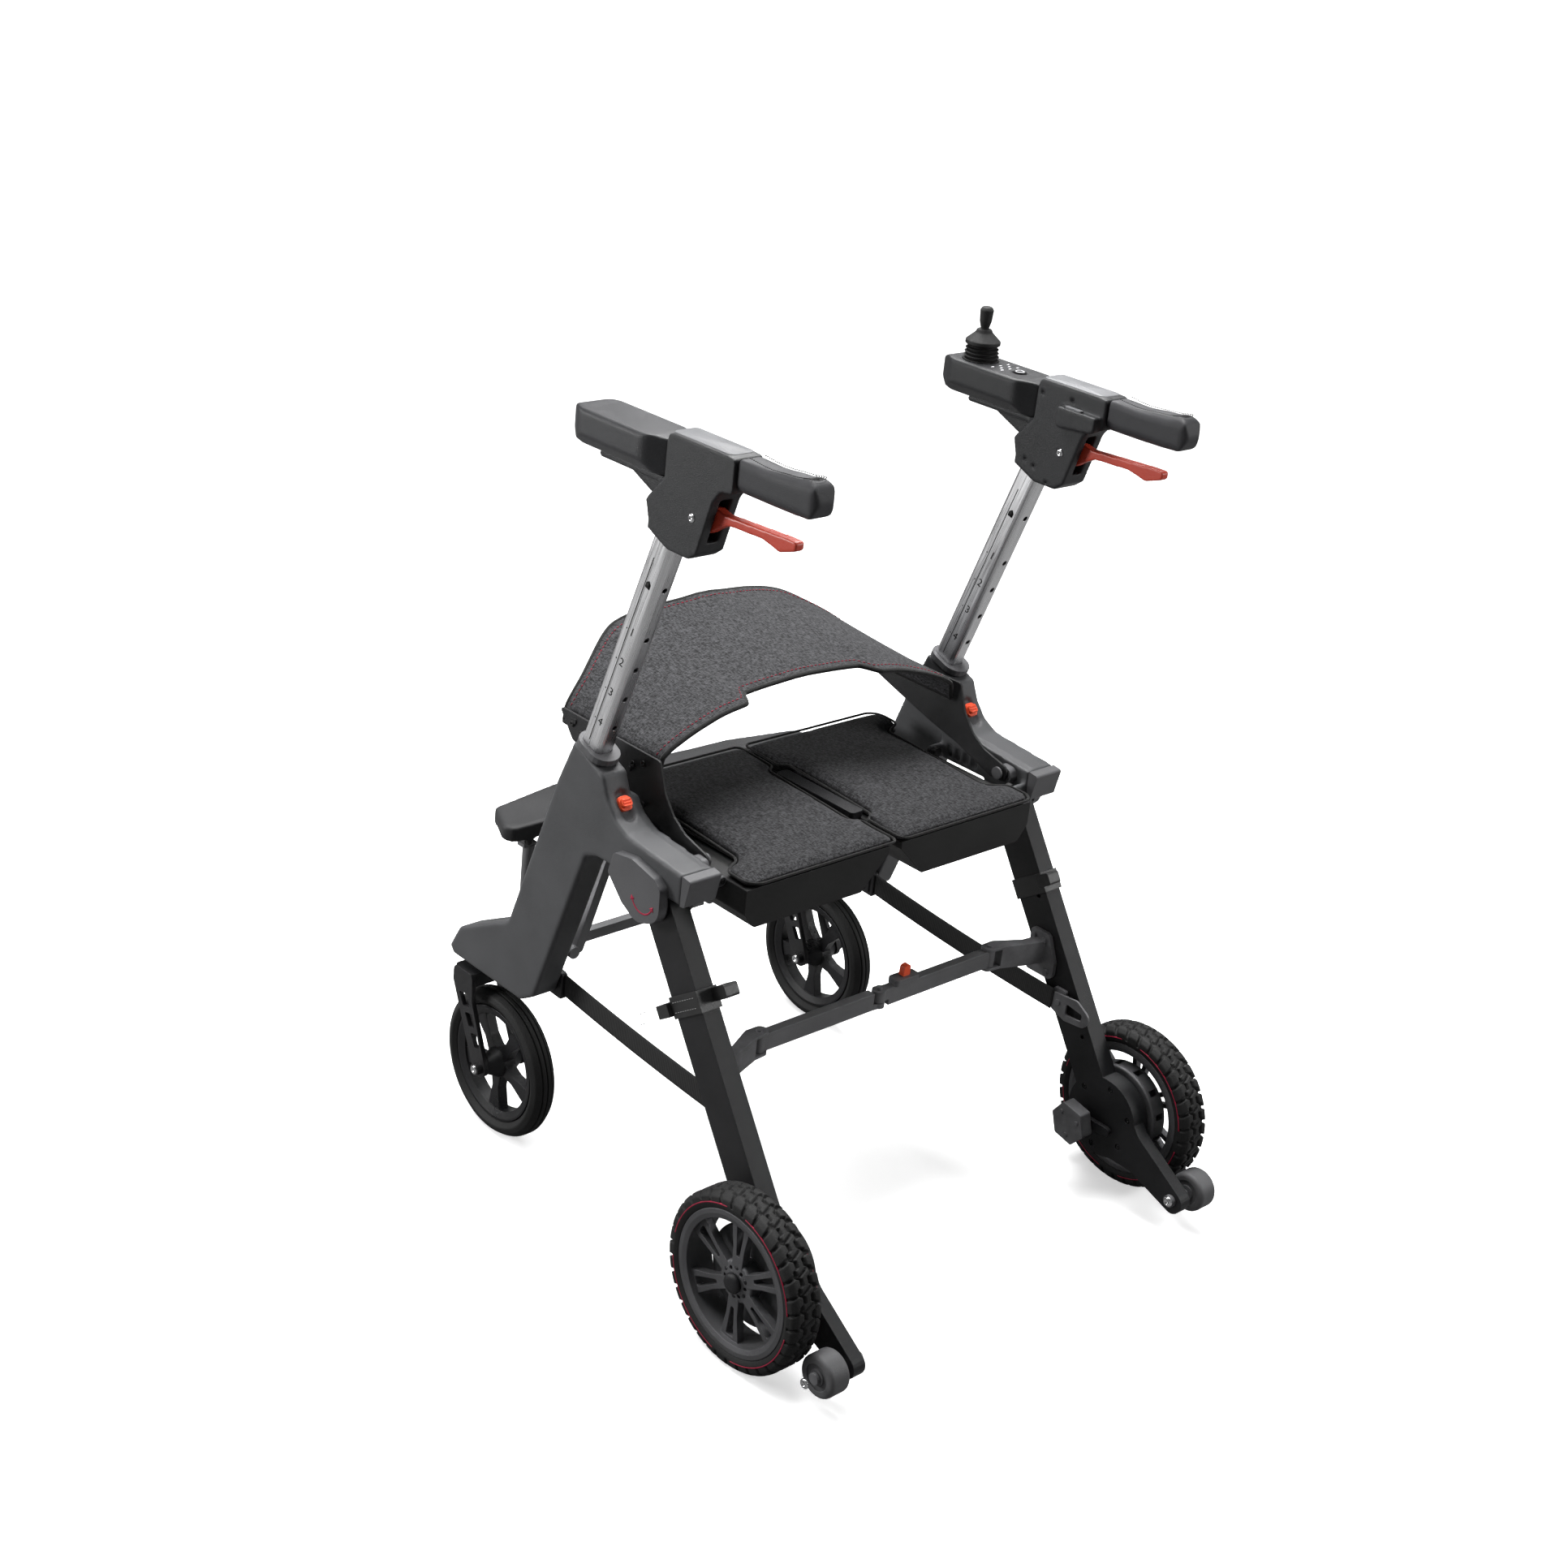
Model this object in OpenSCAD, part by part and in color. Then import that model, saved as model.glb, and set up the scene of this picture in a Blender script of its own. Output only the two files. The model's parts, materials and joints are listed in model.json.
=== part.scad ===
// Motorised rollator with folding seat, backrest band and joystick armrest.
// Millimetres. +Z up, the user's left is +X, the casters are at -Y. Floor at z = 0.

/* [Overall] */
// Middle of each side frame from the centre line
side_x = 292; // [270:1:350]
// Height of the seat trays' top
seat_z = 499; // [440:1:600]
// Drive axle behind the origin
axle_y = 243; // [220:1:300]
// Caster axle in front of the origin
caster_y = 297; // [280:1:340]

/* [Wheels] */
// Outer radius of the drive tyre
drive_r = 109; // [90:1:131]
// Width of the drive tyre
drive_w = 46; // [38:1:50]
// Outer radius of the caster tyre
caster_r = 100; // [83:1:120]
// Width of the caster tyre
caster_w = 36; // [28:1:42]
// Distance from the swivel axis to the caster axle
trail = 45; // [36:1:54]
// Radius of an anti-tip roller
roller_r = 26; // [20:1:31]

/* [Uprights] */
// Angle of the uprights from vertical
lean = 19.4; // [14:0.1:24]
// Tube size across the walker
tube_w = 26; // [22:1:30]
// Tube size front to back
tube_d = 34; // [28:1:41]
// Length of the tube that stands out of the collar
tube_up = 352; // [300:1:420]
// Pitch of the height holes
hole_pitch = 43; // [36:1:50]

/* [Seat] */
// Thickness of the pads at the front
pad_t = 23; // [19:1:28]
// Depth of the trays under the seat
tray_h = 51; // [40:1:61]
// Half-width of the pads at the bracket notch
notch_x = 208; // [190:1:215]

/* [Legs] */
// Rear leg size along its face
leg_d = 48; // [40:1:57]
// Rear leg thickness across the walker
leg_w = 26; // [22:1:28]

/* [Fits] */
// Gap round a sliding tube
slide_gap = 0.3; // [0.2:0.05:0.6]
// Gap round a turning pin
pin_gap = 0.05; // [0.02:0.01:0.1]
// Gap between neighbouring bodies
body_gap = 0.5; // [0.3:0.1:1]

/* [Hidden] */
$fn = 64;
fine = 96;
eps = 0.02;
// side mouldings
frame_t = tube_w + 10;
out_x = side_x + frame_t / 2;
in_x = side_x - frame_t / 2;
arm_in_x = in_x - 10;
arm_end = 50;
// upright line
col_y = -141;
col_z = seat_z + 92;
front_d = 25;
rear_d = 57;
tube_low = 96;
tube_drop = 244;
// rear leg
piv_z = seat_z - 29;
leg_in = side_x - leg_w / 2 - 2;
leg_out = leg_in + leg_w;
leg_len = sqrt(pow(axle_y, 2) + pow(piv_z - drive_r, 2));
leg_a = atan2(axle_y, piv_z - drive_r);
hub_r = 55;
tip_y = axle_y + 128;
tip_z = roller_r + 27;
tip_w = 18;
axle_r = 8;
// drive wheel
drive_x = leg_out + 11 + drive_w / 2;
rim_r = drive_r - 20;
drum_r = rim_r - 27;
// caster
cast_x = side_x - 13;
swiv_y = -caster_y - trail;
crown_z = 2 * caster_r + 4;
crown_t = 18;
wedge_z = crown_z + crown_t + 10;
wedge_in = cast_x - 30;
fork_in = caster_w / 2 + 10;
fork_t = 6;
stem_r = 6;
cax_r = 5;
crim_r = caster_r - 22;
// seat
hinge_x = side_x - 46;
hinge_z = seat_z;
mid_z = seat_z;
tray_f = -227;
tray_b = 81;
pad_f = -205;
pad_b = 89;
wide_x = hinge_x - 8;
knuckle_r = 6.5;
rod_r = 4;
// back rest
plate_x = hinge_x + 2.5;
plate_t = 3;
bp_y = 15;
bp_z = seat_z + 13;
band_t = 6;
band_z = seat_z + 104;
band_n = 28;
band_m = 6;
// braces
rear_pin_x = hinge_x - 48.5;
rear_y = 84;
rear_z = seat_z - 219;
rear_h = 23;
front_z = seat_z - 209;
front_y0 = -243;
front_y1 = -231;
// foot rest
foot_y = -319;
foot_z = wedge_z + 43;
foot_x = hinge_x - 8;
foot_top = seat_z - 94;
// head, measured from where the tube axis leaves the collar
head_y = col_y + 109;
head_z = col_z + 308;
lev_y = 16;
lev_z = head_z + 31.5;
grip_z = head_z + 96;
pad_top = head_z + 104;
stick_y = -149;

// ---------- helpers ----------
function unit(v) = v / norm(v);
function sweep(a) = a > 180 ? a - 360 : a < -180 ? a + 360 : a;
function arc_pts(o, p, q, n) =
  let (a = atan2(p[1] - o[1], p[0] - o[0]), b = atan2(q[1] - o[1], q[0] - o[0]))
  let (e = sweep(b - a), r = norm(p - o))
  [for (i = [0:n]) o + r * [cos(a + e * i / n), sin(a + e * i / n)]];
function corner(a, b, c, r, n) = r <= 0 ? [b] :
  let (u = unit(a - b), v = unit(c - b), h = acos(u * v) / 2)
  let (d = r / tan(h), o = b + unit(u + v) * r / sin(h))
  arc_pts(o, b + u * d, b + v * d, n);
function xy(p) = [p[0], p[1]];
function rad(p) = len(p) > 2 ? p[2] : 0;
// a polygon whose points are [x, y, corner radius]
function rounded(p, n = 5) = let (m = len(p))
  [for (i = [0:m - 1])
    each corner(xy(p[(i + m - 1) % m]), xy(p[i]), xy(p[(i + 1) % m]), rad(p[i]), n)];
function rect_pts(x0, y0, x1, y1, r) = [[x0, y0, r], [x1, y0, r], [x1, y1, r], [x0, y1, r]];
// y of the line d behind the upright's axis, at height z
function line_y(z, d) = col_y + (z - col_z) * tan(lean) + d / cos(lean);
// point s up the upright and d behind it
function on_up(s, d) = [col_y + s * sin(lean) + d * cos(lean), col_z + s * cos(lean) - d * sin(lean)];
// point s down the rear leg and d behind it
function on_leg(s, d) = [s * sin(leg_a) + d * cos(leg_a), piv_z - s * cos(leg_a) + d * sin(leg_a)];
function join(p, r) = [p[0], p[1], r];
function smooth(t) = let (u = min(1, max(0, t))) u * u * (3 - 2 * u);
function between(t, a, b) = a + (b - a) * t;

module flat(pts, n = 5) { polygon(rounded(pts, n)); }
// outline in (y, z), thickness from x0 to x1
module ext_x(x0, x1) {
  translate([x0, 0, 0]) rotate([90, 0, 90]) linear_extrude(x1 - x0) children();
}
// outline in (x, z), thickness from y0 to y1
module ext_y(y0, y1) {
  translate([0, y1, 0]) rotate([90, 0, 0]) linear_extrude(y1 - y0) children();
}
module ext_z(z0, z1) {
  translate([0, 0, z0]) linear_extrude(z1 - z0) children();
}
// round bar along X, along Y, along Z
module bar_x(x0, x1, y, z, r) {
  translate([x0, y, z]) rotate([0, 90, 0]) cylinder(r = r, h = x1 - x0);
}
module bar_y(x, y0, y1, z, r) {
  translate([x, y1, z]) rotate([90, 0, 0]) cylinder(r = r, h = y1 - y0);
}
module bar_z(x, y, z0, z1, r) {
  translate([x, y, z0]) cylinder(r = r, h = z1 - z0);
}
module box(x0, y0, z0, x1, y1, z1) {
  translate([x0, y0, z0]) cube([x1 - x0, y1 - y0, z1 - z0]);
}
// wheel axis along X
module wheel(x, y, z) {
  translate([x, y, z]) rotate([0, 90, 0]) children();
}
module spin(p) {
  rotate_extrude($fn = fine) polygon(rounded(p, 4));
}
module other_side() {
  mirror([1, 0, 0]) children();
}
// upright frame: local z up the tube, local y towards the back
module at_up(s) {
  translate([side_x, col_y, col_z]) rotate([-lean, 0, 0]) translate([0, 0, s]) children();
}
module tube_shape(g) {
  flat(rect_pts(-tube_w / 2 - g, -tube_d / 2 - g, tube_w / 2 + g, tube_d / 2 + g, 8 + g));
}
module ring_oval(g) {
  flat(rect_pts(-tube_w / 2 - g, -tube_d / 2 - g, tube_w / 2 + g, tube_d / 2 + g + 8, 12 + g));
}

// ---------- side frame ----------
lambda = [
  [swiv_y - 36, wedge_z + 9, 3], [swiv_y - 28, wedge_z, 3],
  [line_y(wedge_z, rear_d) - 20, wedge_z, 10], [line_y(wedge_z + 16, rear_d), wedge_z + 16, 12],
  [line_y(seat_z - 24, rear_d), seat_z - 24, 7], [-100, seat_z - 16, 8],
  [arm_end, seat_z - 14, 2], [arm_end, seat_z + 24, 2],
  [-50, seat_z + 32, 20], [-72, seat_z + 43, 14], [-89, seat_z + 62, 20],
  join(on_up(9, 40), 5), join(on_up(12, -20), 3),
  join([line_y(seat_z + 52, -front_d), seat_z + 52], 20),
  [line_y(wedge_z + 95, -front_d), wedge_z + 95, 18],
  [swiv_y + 39, wedge_z + 73, 30], [swiv_y - 17, wedge_z + 43, 12]
];

module frame_side() {
  difference() {
    union() {
      ext_x(in_x, out_x) flat(lambda);
      // inner half of the arm
      ext_x(arm_in_x, in_x + 3) flat([
        [-100, seat_z - 14, 6], [arm_end, seat_z - 12, 2], [arm_end, seat_z + 23, 2],
        [-50, seat_z + 31, 20], [-73, seat_z + 42, 14], [-90, seat_z + 60, 6], [-112, seat_z + 58, 6]
      ]);
      // inner half of the caster arm
      ext_x(wedge_in, in_x + 3) flat([
        [swiv_y - 35, wedge_z + 9, 3], [swiv_y - 27, wedge_z + 1, 3], [swiv_y + 70, wedge_z + 1, 6],
        [swiv_y + 82, wedge_z + 40, 10], [swiv_y + 39, wedge_z + 62, 20], [swiv_y - 17, wedge_z + 36, 10]
      ]);
      // ears of the rear leg pivot
      bar_x(arm_in_x, out_x, 0, piv_z, leg_d / 2 + 2);
      // seat hinge lugs
      for (y = [-106, arm_end - 8.5]) seat_lug(y);
    }
    // upright tube pocket
    at_up(-tube_low - tube_drop - 12) linear_extrude(tube_low + tube_drop + 60) tube_shape(slide_gap);
    // slot for the leg's head
    box(leg_in - body_gap, -leg_d / 2 - 4, piv_z - 40, leg_out + body_gap, leg_d / 2 + 10, piv_z + leg_d / 2 + 3);
    // leg pivot bore and caster stem bore
    bar_x(arm_in_x - eps, out_x - 4, 0, piv_z, axle_r + pin_gap);
    bar_z(cast_x, swiv_y, wedge_z - 1, wedge_z + 36, stem_r + pin_gap);
    // latch recess in the sloping top
    latch_at() ext_z(-3, 12) flat(rect_pts(-8.5, -20, 8.5, 20, 8));
    // backrest pivot bore
    bar_x(arm_in_x - eps, arm_in_x + 8, bp_y, bp_z, 5 + pin_gap);
    // foot tube pivot bore
    bar_x(wedge_in - eps, wedge_in + 12, foot_y, foot_z, 6 + pin_gap);
    // weight-saving channels on the inner face
    for (k = [0:3]) rib_cut(k);
  }
}
module seat_lug(y) {
  difference() {
    union() {
      bar_y(hinge_x, y, y + 8, hinge_z, knuckle_r);
      box(hinge_x, y, hinge_z - knuckle_r, arm_in_x + eps, y + 8, hinge_z + knuckle_r);
    }
    bar_y(hinge_x, y - eps, y + 8 + eps, hinge_z, 3 + pin_gap);
  }
}
module rib_cut(k) {
  box(arm_in_x - eps, -92 + 15 * k, seat_z - 8, arm_in_x + 4, -82 + 15 * k, seat_z + 8);
}
// origin on the sloping top of the arm; local y runs down the slope, local z out of it
module latch_at() {
  translate([side_x - 3, -80.5, seat_z + 52.5]) rotate([-48.2, 0, 0]) children();
}

module frame_trim() {
  // collar round the tube
  at_up(12.4) difference() {
    linear_extrude(8) ring_oval(7);
    translate([0, 0, -1]) linear_extrude(10) tube_shape(slide_gap);
  }
  // hinge cover on the outer face
  ext_x(out_x + 0.2, out_x + 12) flat([
    [-56, seat_z + 12, 6], [-24, seat_z + 17, 14], [16, seat_z + 9, 10], [29, seat_z - 1, 8],
    [30, piv_z - 14, 24], [-8, piv_z - 28, 22], [-36, piv_z - 14, 14], [-64, seat_z - 16, 5]
  ]);
  // two-part cap on the arm's end
  ext_x(arm_in_x, out_x) flat([
    [arm_end + 0.4, seat_z - 14, 1], [58, seat_z - 13, 3], [65, seat_z + 22, 3], [arm_end + 0.4, seat_z + 24, 1]
  ]);
  // bracket of the backrest pivot, with its pin
  ext_x(plate_x + plate_t + body_gap, arm_in_x - 0.1) flat([
    [2, seat_z, 4], [24, seat_z - 2, 4], [33, seat_z + 8, 5], [28, seat_z + 20, 8], [8, seat_z + 22, 8]
  ]);
  bar_x(plate_x - 4, arm_in_x + 7, bp_y, bp_z, 5);
  bar_x(plate_x - 6, plate_x - 3, bp_y, bp_z, 8);
  // pivot pin of the rear leg
  bar_x(arm_in_x - 3, out_x - 5, 0, piv_z, axle_r);
}

module slide_latch() {
  latch_at() {
    ext_z(-2.6, 2) flat(rect_pts(-8, -12, 8, 6, 5));
    ext_z(2, 6) flat(rect_pts(-7, -9, 7, 3, 4));
    for (k = [0:2]) translate([0, -6 + 3.5 * k, 5.5]) cube([11, 1.6, 3], center = true);
  }
}

// ---------- upright and head ----------
module upright_tube() {
  difference() {
    at_up(-tube_low) linear_extrude(tube_low + tube_up) tube_shape(0);
    at_up(-tube_low - 1) linear_extrude(tube_low + tube_up + 2) tube_shape(-2.5);
    for (k = [0:5]) at_up(14.5 + hole_pitch * k + (k == 5 ? 27 : 0)) hole_back();
    // scale line on the outer face
    at_up(20) translate([tube_w / 2 - 0.4, -1, 0]) cube([1, 1.2, 265]);
  }
}
module hole_back() {
  rotate([-90, 0, 0]) cylinder(r = 3.6, h = tube_d);
}

head_out = [
  [head_y - 23.6, head_z, 3], [head_y + 12, head_z - 15, 4], [head_y + 46, head_z - 15.5, 6],
  [head_y + 59, head_z - 6, 4], [head_y + 65, head_z + 14, 3], [head_y + 78, head_z + 57, 8],
  [head_y + 88, head_z + 71, 6], [head_y + 107, head_z + 74, 3], [head_y + 107, head_z + 112, 4],
  [head_y + 2, head_z + 112, 5], [head_y - 1, head_z + 104, 2], [head_y - 2, head_z + 62, 2],
  [head_y - 29, head_z + 31, 6], [head_y - 22.5, head_z + 9, 5]
];
head_w = 20;
module head_shell() {
  difference() {
    union() {
      ext_x(side_x - head_w, side_x + head_w) flat(head_out);
      // inlaid cap
      ext_z(head_z + 111, head_z + 113.4)
        flat(rect_pts(side_x - head_w + 2.5, head_y + 5, side_x + head_w - 2.5, head_y + 100, 6));
      // gusset and rail under the arm rest
      ext_x(side_x - 7, side_x + 7) flat([
        [head_y - 100, head_z + 61, 2], [head_y - 2, head_z + 61, 0], [head_y + 10, head_z + 22, 0],
        [head_y - 28, head_z + 31, 3]
      ]);
      ext_x(side_x - 17, side_x + 17) flat([
        [head_y - 115, head_z + 53.5, 2], [head_y, head_z + 53.5, 0],
        [head_y, head_z + 61, 0], [head_y - 115, head_z + 61, 2]
      ]);
      // bar inside the grip
      bar_y(side_x, head_y + 100, head_y + 216, grip_z, 9);
    }
    at_up(250) linear_extrude(tube_up - 250 + 1) tube_shape(0.1);
    // slot of the brake lever
    box(side_x - 8, lev_y - 13, head_z + 6, side_x + 8, head_y + 110, head_z + 58);
    bar_x(side_x - head_w - 1, side_x + head_w + 1, lev_y, lev_z, 3 + pin_gap);
  }
}
module head_holes() {
  for (p = [[7, 96], [55, 98], [-6, 9], [9, 4], [32, -11]])
    bar_x(side_x - head_w - 1, side_x - head_w + 3, head_y + p[0], head_z + p[1], 2.5);
}
module grip_solid() {
  difference() {
    intersection() {
      ext_x(side_x - 16, side_x + 16) flat([
        [head_y + 107.4, head_z + 76, 2], [head_y + 144, head_z + 75, 30], [head_y + 190, head_z + 77, 20],
        [head_y + 218, head_z + 79, 9], [head_y + 227, head_z + 96, 14], [head_y + 220, head_z + 115, 9],
        [head_y + 180, head_z + 117, 30], [head_y + 107.4, head_z + 112, 2]
      ]);
      ext_z(head_z + 70, head_z + 120) flat([
        [side_x - 16, head_y + 107.4, 1], [side_x + 16, head_y + 107.4, 1],
        [side_x + 16, head_y + 227, 12], [side_x - 16, head_y + 227, 12]
      ]);
      ext_y(head_y + 100, head_y + 230)
        flat(rect_pts(side_x - 16, head_z + 75, side_x + 16, head_z + 117, 12));
    }
    bar_y(side_x, head_y + 100, head_y + 216.4, grip_z, 9.1);
  }
}
module brake_lever() {
  // blade with a hooked tip
  ext_x(side_x - 6, side_x + 6) flat([
    [lev_y - 9, lev_z - 12, 5], [lev_y + 14, lev_z - 15, 4], [lev_y + 24, lev_z - 8, 5],
    [lev_y + 42, lev_z + 2, 12], [lev_y + 95, lev_z + 4, 20], [lev_y + 110, lev_z + 1, 6],
    [lev_y + 122, lev_z - 2, 5], [lev_y + 146, lev_z + 6, 4], [lev_y + 147, lev_z + 16, 4],
    [lev_y + 130, lev_z + 16, 10], [lev_y + 36, lev_z + 11.5, 20], [lev_y + 22, lev_z + 15, 6],
    [lev_y - 2, lev_z + 15, 8]
  ]);
  bar_x(side_x - head_w + 1, side_x + head_w - 1, lev_y, lev_z, 3);
}
module arm_pad() {
  intersection() {
    ext_z(head_z + 60, pad_top + 5) flat([
      [side_x - 14, head_y - 167, 16], [side_x + 14, head_y - 167, 16], [side_x + 32, head_y - 138, 26],
      [side_x + 32, head_y - 30, 22], [side_x + 14, head_y - 3, 6], [side_x - 14, head_y - 3, 6],
      [side_x - 32, head_y - 30, 22], [side_x - 32, head_y - 138, 26]
    ]);
    ext_x(side_x - 33, side_x + 33) flat([
      [head_y - 168, head_z + 76, 5], [head_y - 140, head_z + 61, 10], [head_y - 3, head_z + 61, 1],
      [head_y - 3, pad_top - 2, 2], [head_y - 20, pad_top, 20], [head_y - 152, pad_top, 20],
      [head_y - 168, pad_top - 8, 5]
    ]);
    ext_y(head_y - 170, head_y) flat([
      [side_x - 22, head_z + 61, 4], [side_x + 22, head_z + 61, 4], [side_x + 32, head_z + 74, 6],
      [side_x + 32, pad_top, 5], [side_x - 32, pad_top, 5], [side_x - 32, head_z + 74, 6]
    ]);
  }
}
module joystick_box() {
  difference() {
    other_side() arm_pad();
    bar_z(-side_x, stick_y, pad_top - 22, pad_top + 2, 21);
    bar_z(-side_x, head_y - 50, pad_top - 8, pad_top + 2, 8.4);
    // charging port
    box(-side_x - 9, head_y - 170, head_z + 78, -side_x + 9, head_y - 162, head_z + 90);
  }
}
module gimbal_solid() {
  difference() {
    bar_z(-side_x, stick_y, pad_top - 14, pad_top - 6, 14);
    bar_z(-side_x, stick_y, pad_top - 15, pad_top - 5, 11);
    bar_x(-side_x - 20, -side_x + 20, stick_y, pad_top - 10, 1.5 + pin_gap);
  }
  for (s = [-1, 1]) bar_y(-side_x, stick_y + s * 16 - 2.7, stick_y + s * 16 + 2.7, pad_top - 10, 1.5);
}
module joystick_stick() {
  bar_x(-side_x - 14, -side_x + 14, stick_y, pad_top - 10, 1.5);
  translate([-side_x, stick_y, 0]) {
    translate([0, 0, pad_top - 10]) sphere(r = 6);
    translate([0, 0, pad_top - 10]) cylinder(r = 3.5, h = 32);
    // skirt over the bellows, then the neck and the knob
    rotate_extrude() polygon(rounded([
      [0.01, pad_top + 19.5], [22, pad_top + 19.5, 1], [22, pad_top + 24, 2], [11, pad_top + 34, 3],
      [9, pad_top + 38, 1], [5, pad_top + 39, 1], [7.5, pad_top + 48, 3], [8.5, pad_top + 62, 3],
      [6, pad_top + 66, 4], [0.01, pad_top + 66.5]
    ], 4));
  }
}
module bellows_solid() {
  translate([-side_x, stick_y, 0]) rotate_extrude() polygon([
    for (i = [0:8]) [i % 2 == 0 ? 23 - i * 0.5 : 18 - i * 0.5, pad_top + 0.3 + i * 2.3],
    for (i = [8:-1:0]) [i % 2 == 0 ? 21 - i * 0.5 : 16 - i * 0.5, pad_top + 0.3 + i * 2.3]
  ]);
}

// ---------- rear leg ----------
module rear_leg() {
  difference() {
    union() {
      ext_x(leg_in, leg_out) polygon([
        on_leg(0, -leg_d / 2), on_leg(0, leg_d / 2), on_leg(leg_len, leg_d / 2), on_leg(leg_len, -leg_d / 2)
      ]);
      bar_x(leg_in, leg_out, 0, piv_z, leg_d / 2);
      // motor plate
      bar_x(leg_in, leg_out, axle_y, drive_r, hub_r);
      // anti-tip arm
      ext_x(leg_in, leg_in + tip_w) flat([
        [axle_y - 20, drive_r - 50, 0], [axle_y + 58, drive_r - 50, 25], [tip_y + 8, tip_z - 21, 14],
        [tip_y + 22, tip_z + 3, 14], [axle_y + 62, drive_r + 2, 30], [axle_y + 26, drive_r + 50, 20],
        [axle_y - 10, drive_r + 30, 0]
      ]);
      // wheel axle, fixed in the plate
      bar_x(leg_in, drive_x + 16, axle_y, drive_r, axle_r);
    }
    bar_x(leg_in - 1, leg_out + 1, 0, piv_z, axle_r + pin_gap);
    // screw recesses round the hub
    for (a = [20:60:320]) bar_x(leg_in - 1, leg_in + 3, axle_y + 44 * cos(a), drive_r + 44 * sin(a), 4);
    for (s = [140, 330]) bar_x(leg_in - 1, leg_in + 4, on_leg(s, 10)[0], on_leg(s, 10)[1], 3);
    bar_x(leg_in - 1, leg_in + tip_w + 1, tip_y, tip_z, 4 + eps);
  }
}
module drive_rim() {
  wheel(drive_x, axle_y, drive_r) difference() {
    union() {
      // barrel with two lips
      spin([
        [rim_r - 12, -19], [rim_r - 6, -21, 1], [rim_r, -21, 1], [rim_r, -18], [rim_r - 5, -15],
        [rim_r - 5, 15], [rim_r, 18], [rim_r, 21, 1], [rim_r - 6, 21, 1], [rim_r - 12, 19]
      ]);
      // motor drum with fins
      difference() {
        spin([[axle_r, -31], [drum_r, -31, 3], [drum_r, -6, 3], [axle_r, -6]]);
        for (a = [0:30:330]) rotate([0, 0, a + 15]) translate([drum_r - 9, -4, -25]) cube([12, 8, 14]);
      }
      spin([[axle_r, -7], [26, -7], [26, 12, 3], [axle_r, 15, 1]]);
      // split spokes
      for (a = [0:60:300]) rotate([0, 0, a]) split_spoke();
    }
    translate([0, 0, -40]) cylinder(r = axle_r + pin_gap, h = 40 + 16.5);
    for (a = [0:60:300]) rotate([0, 0, a + 30]) translate([17, 0, 6]) cylinder(r = 2.6, h = 12);
  }
}
module split_spoke() {
  difference() {
    ext_z(3, 13) flat([
      [18, -8, 0], [44, -9, 12], [rim_r - 10, -15, 0], [rim_r - 10, 15, 0], [44, 9, 12], [18, 8, 0]
    ]);
    ext_z(2, 14) flat([[34, -2.5, 2], [rim_r - 16, -6.5, 3], [rim_r - 16, 6.5, 3], [34, 2.5, 2]]);
  }
}
module drive_tyre() {
  wheel(drive_x, axle_y, drive_r) difference() {
    spin([
      [rim_r - 4.9, -14.9], [rim_r + 0.1, -18], [rim_r + 2, -20, 1],
      [rim_r + 8, -drive_w / 2, 4], [rim_r + 15, -drive_w / 2 + 1, 3], [drive_r, -14, 5],
      [drive_r, 14, 5], [rim_r + 15, drive_w / 2 - 1, 3], [rim_r + 8, drive_w / 2, 4],
      [rim_r + 2, 20, 1], [rim_r + 0.1, 18], [rim_r - 4.9, 14.9]
    ]);
    for (x = [-7, 7]) spin([[drive_r - 3.5, x - 1.5], [drive_r + 2, x - 2.5], [drive_r + 2, x + 2.5], [drive_r - 3.5, x + 1.5]]);
  }
}
module roller() {
  roll_x = leg_in + tip_w + 12;
  wheel(roll_x, tip_y, tip_z) difference() {
    spin([
      [4 + pin_gap, 0], [10, 0], [10, 2], [16, 2], [16, 0.5, 1], [roller_r, 0.5, 5], [roller_r, 29.5, 5],
      [16, 29.5, 1], [16, 27], [10, 27], [10, 29], [4 + pin_gap, 29]
    ]);
  }
}
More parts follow.
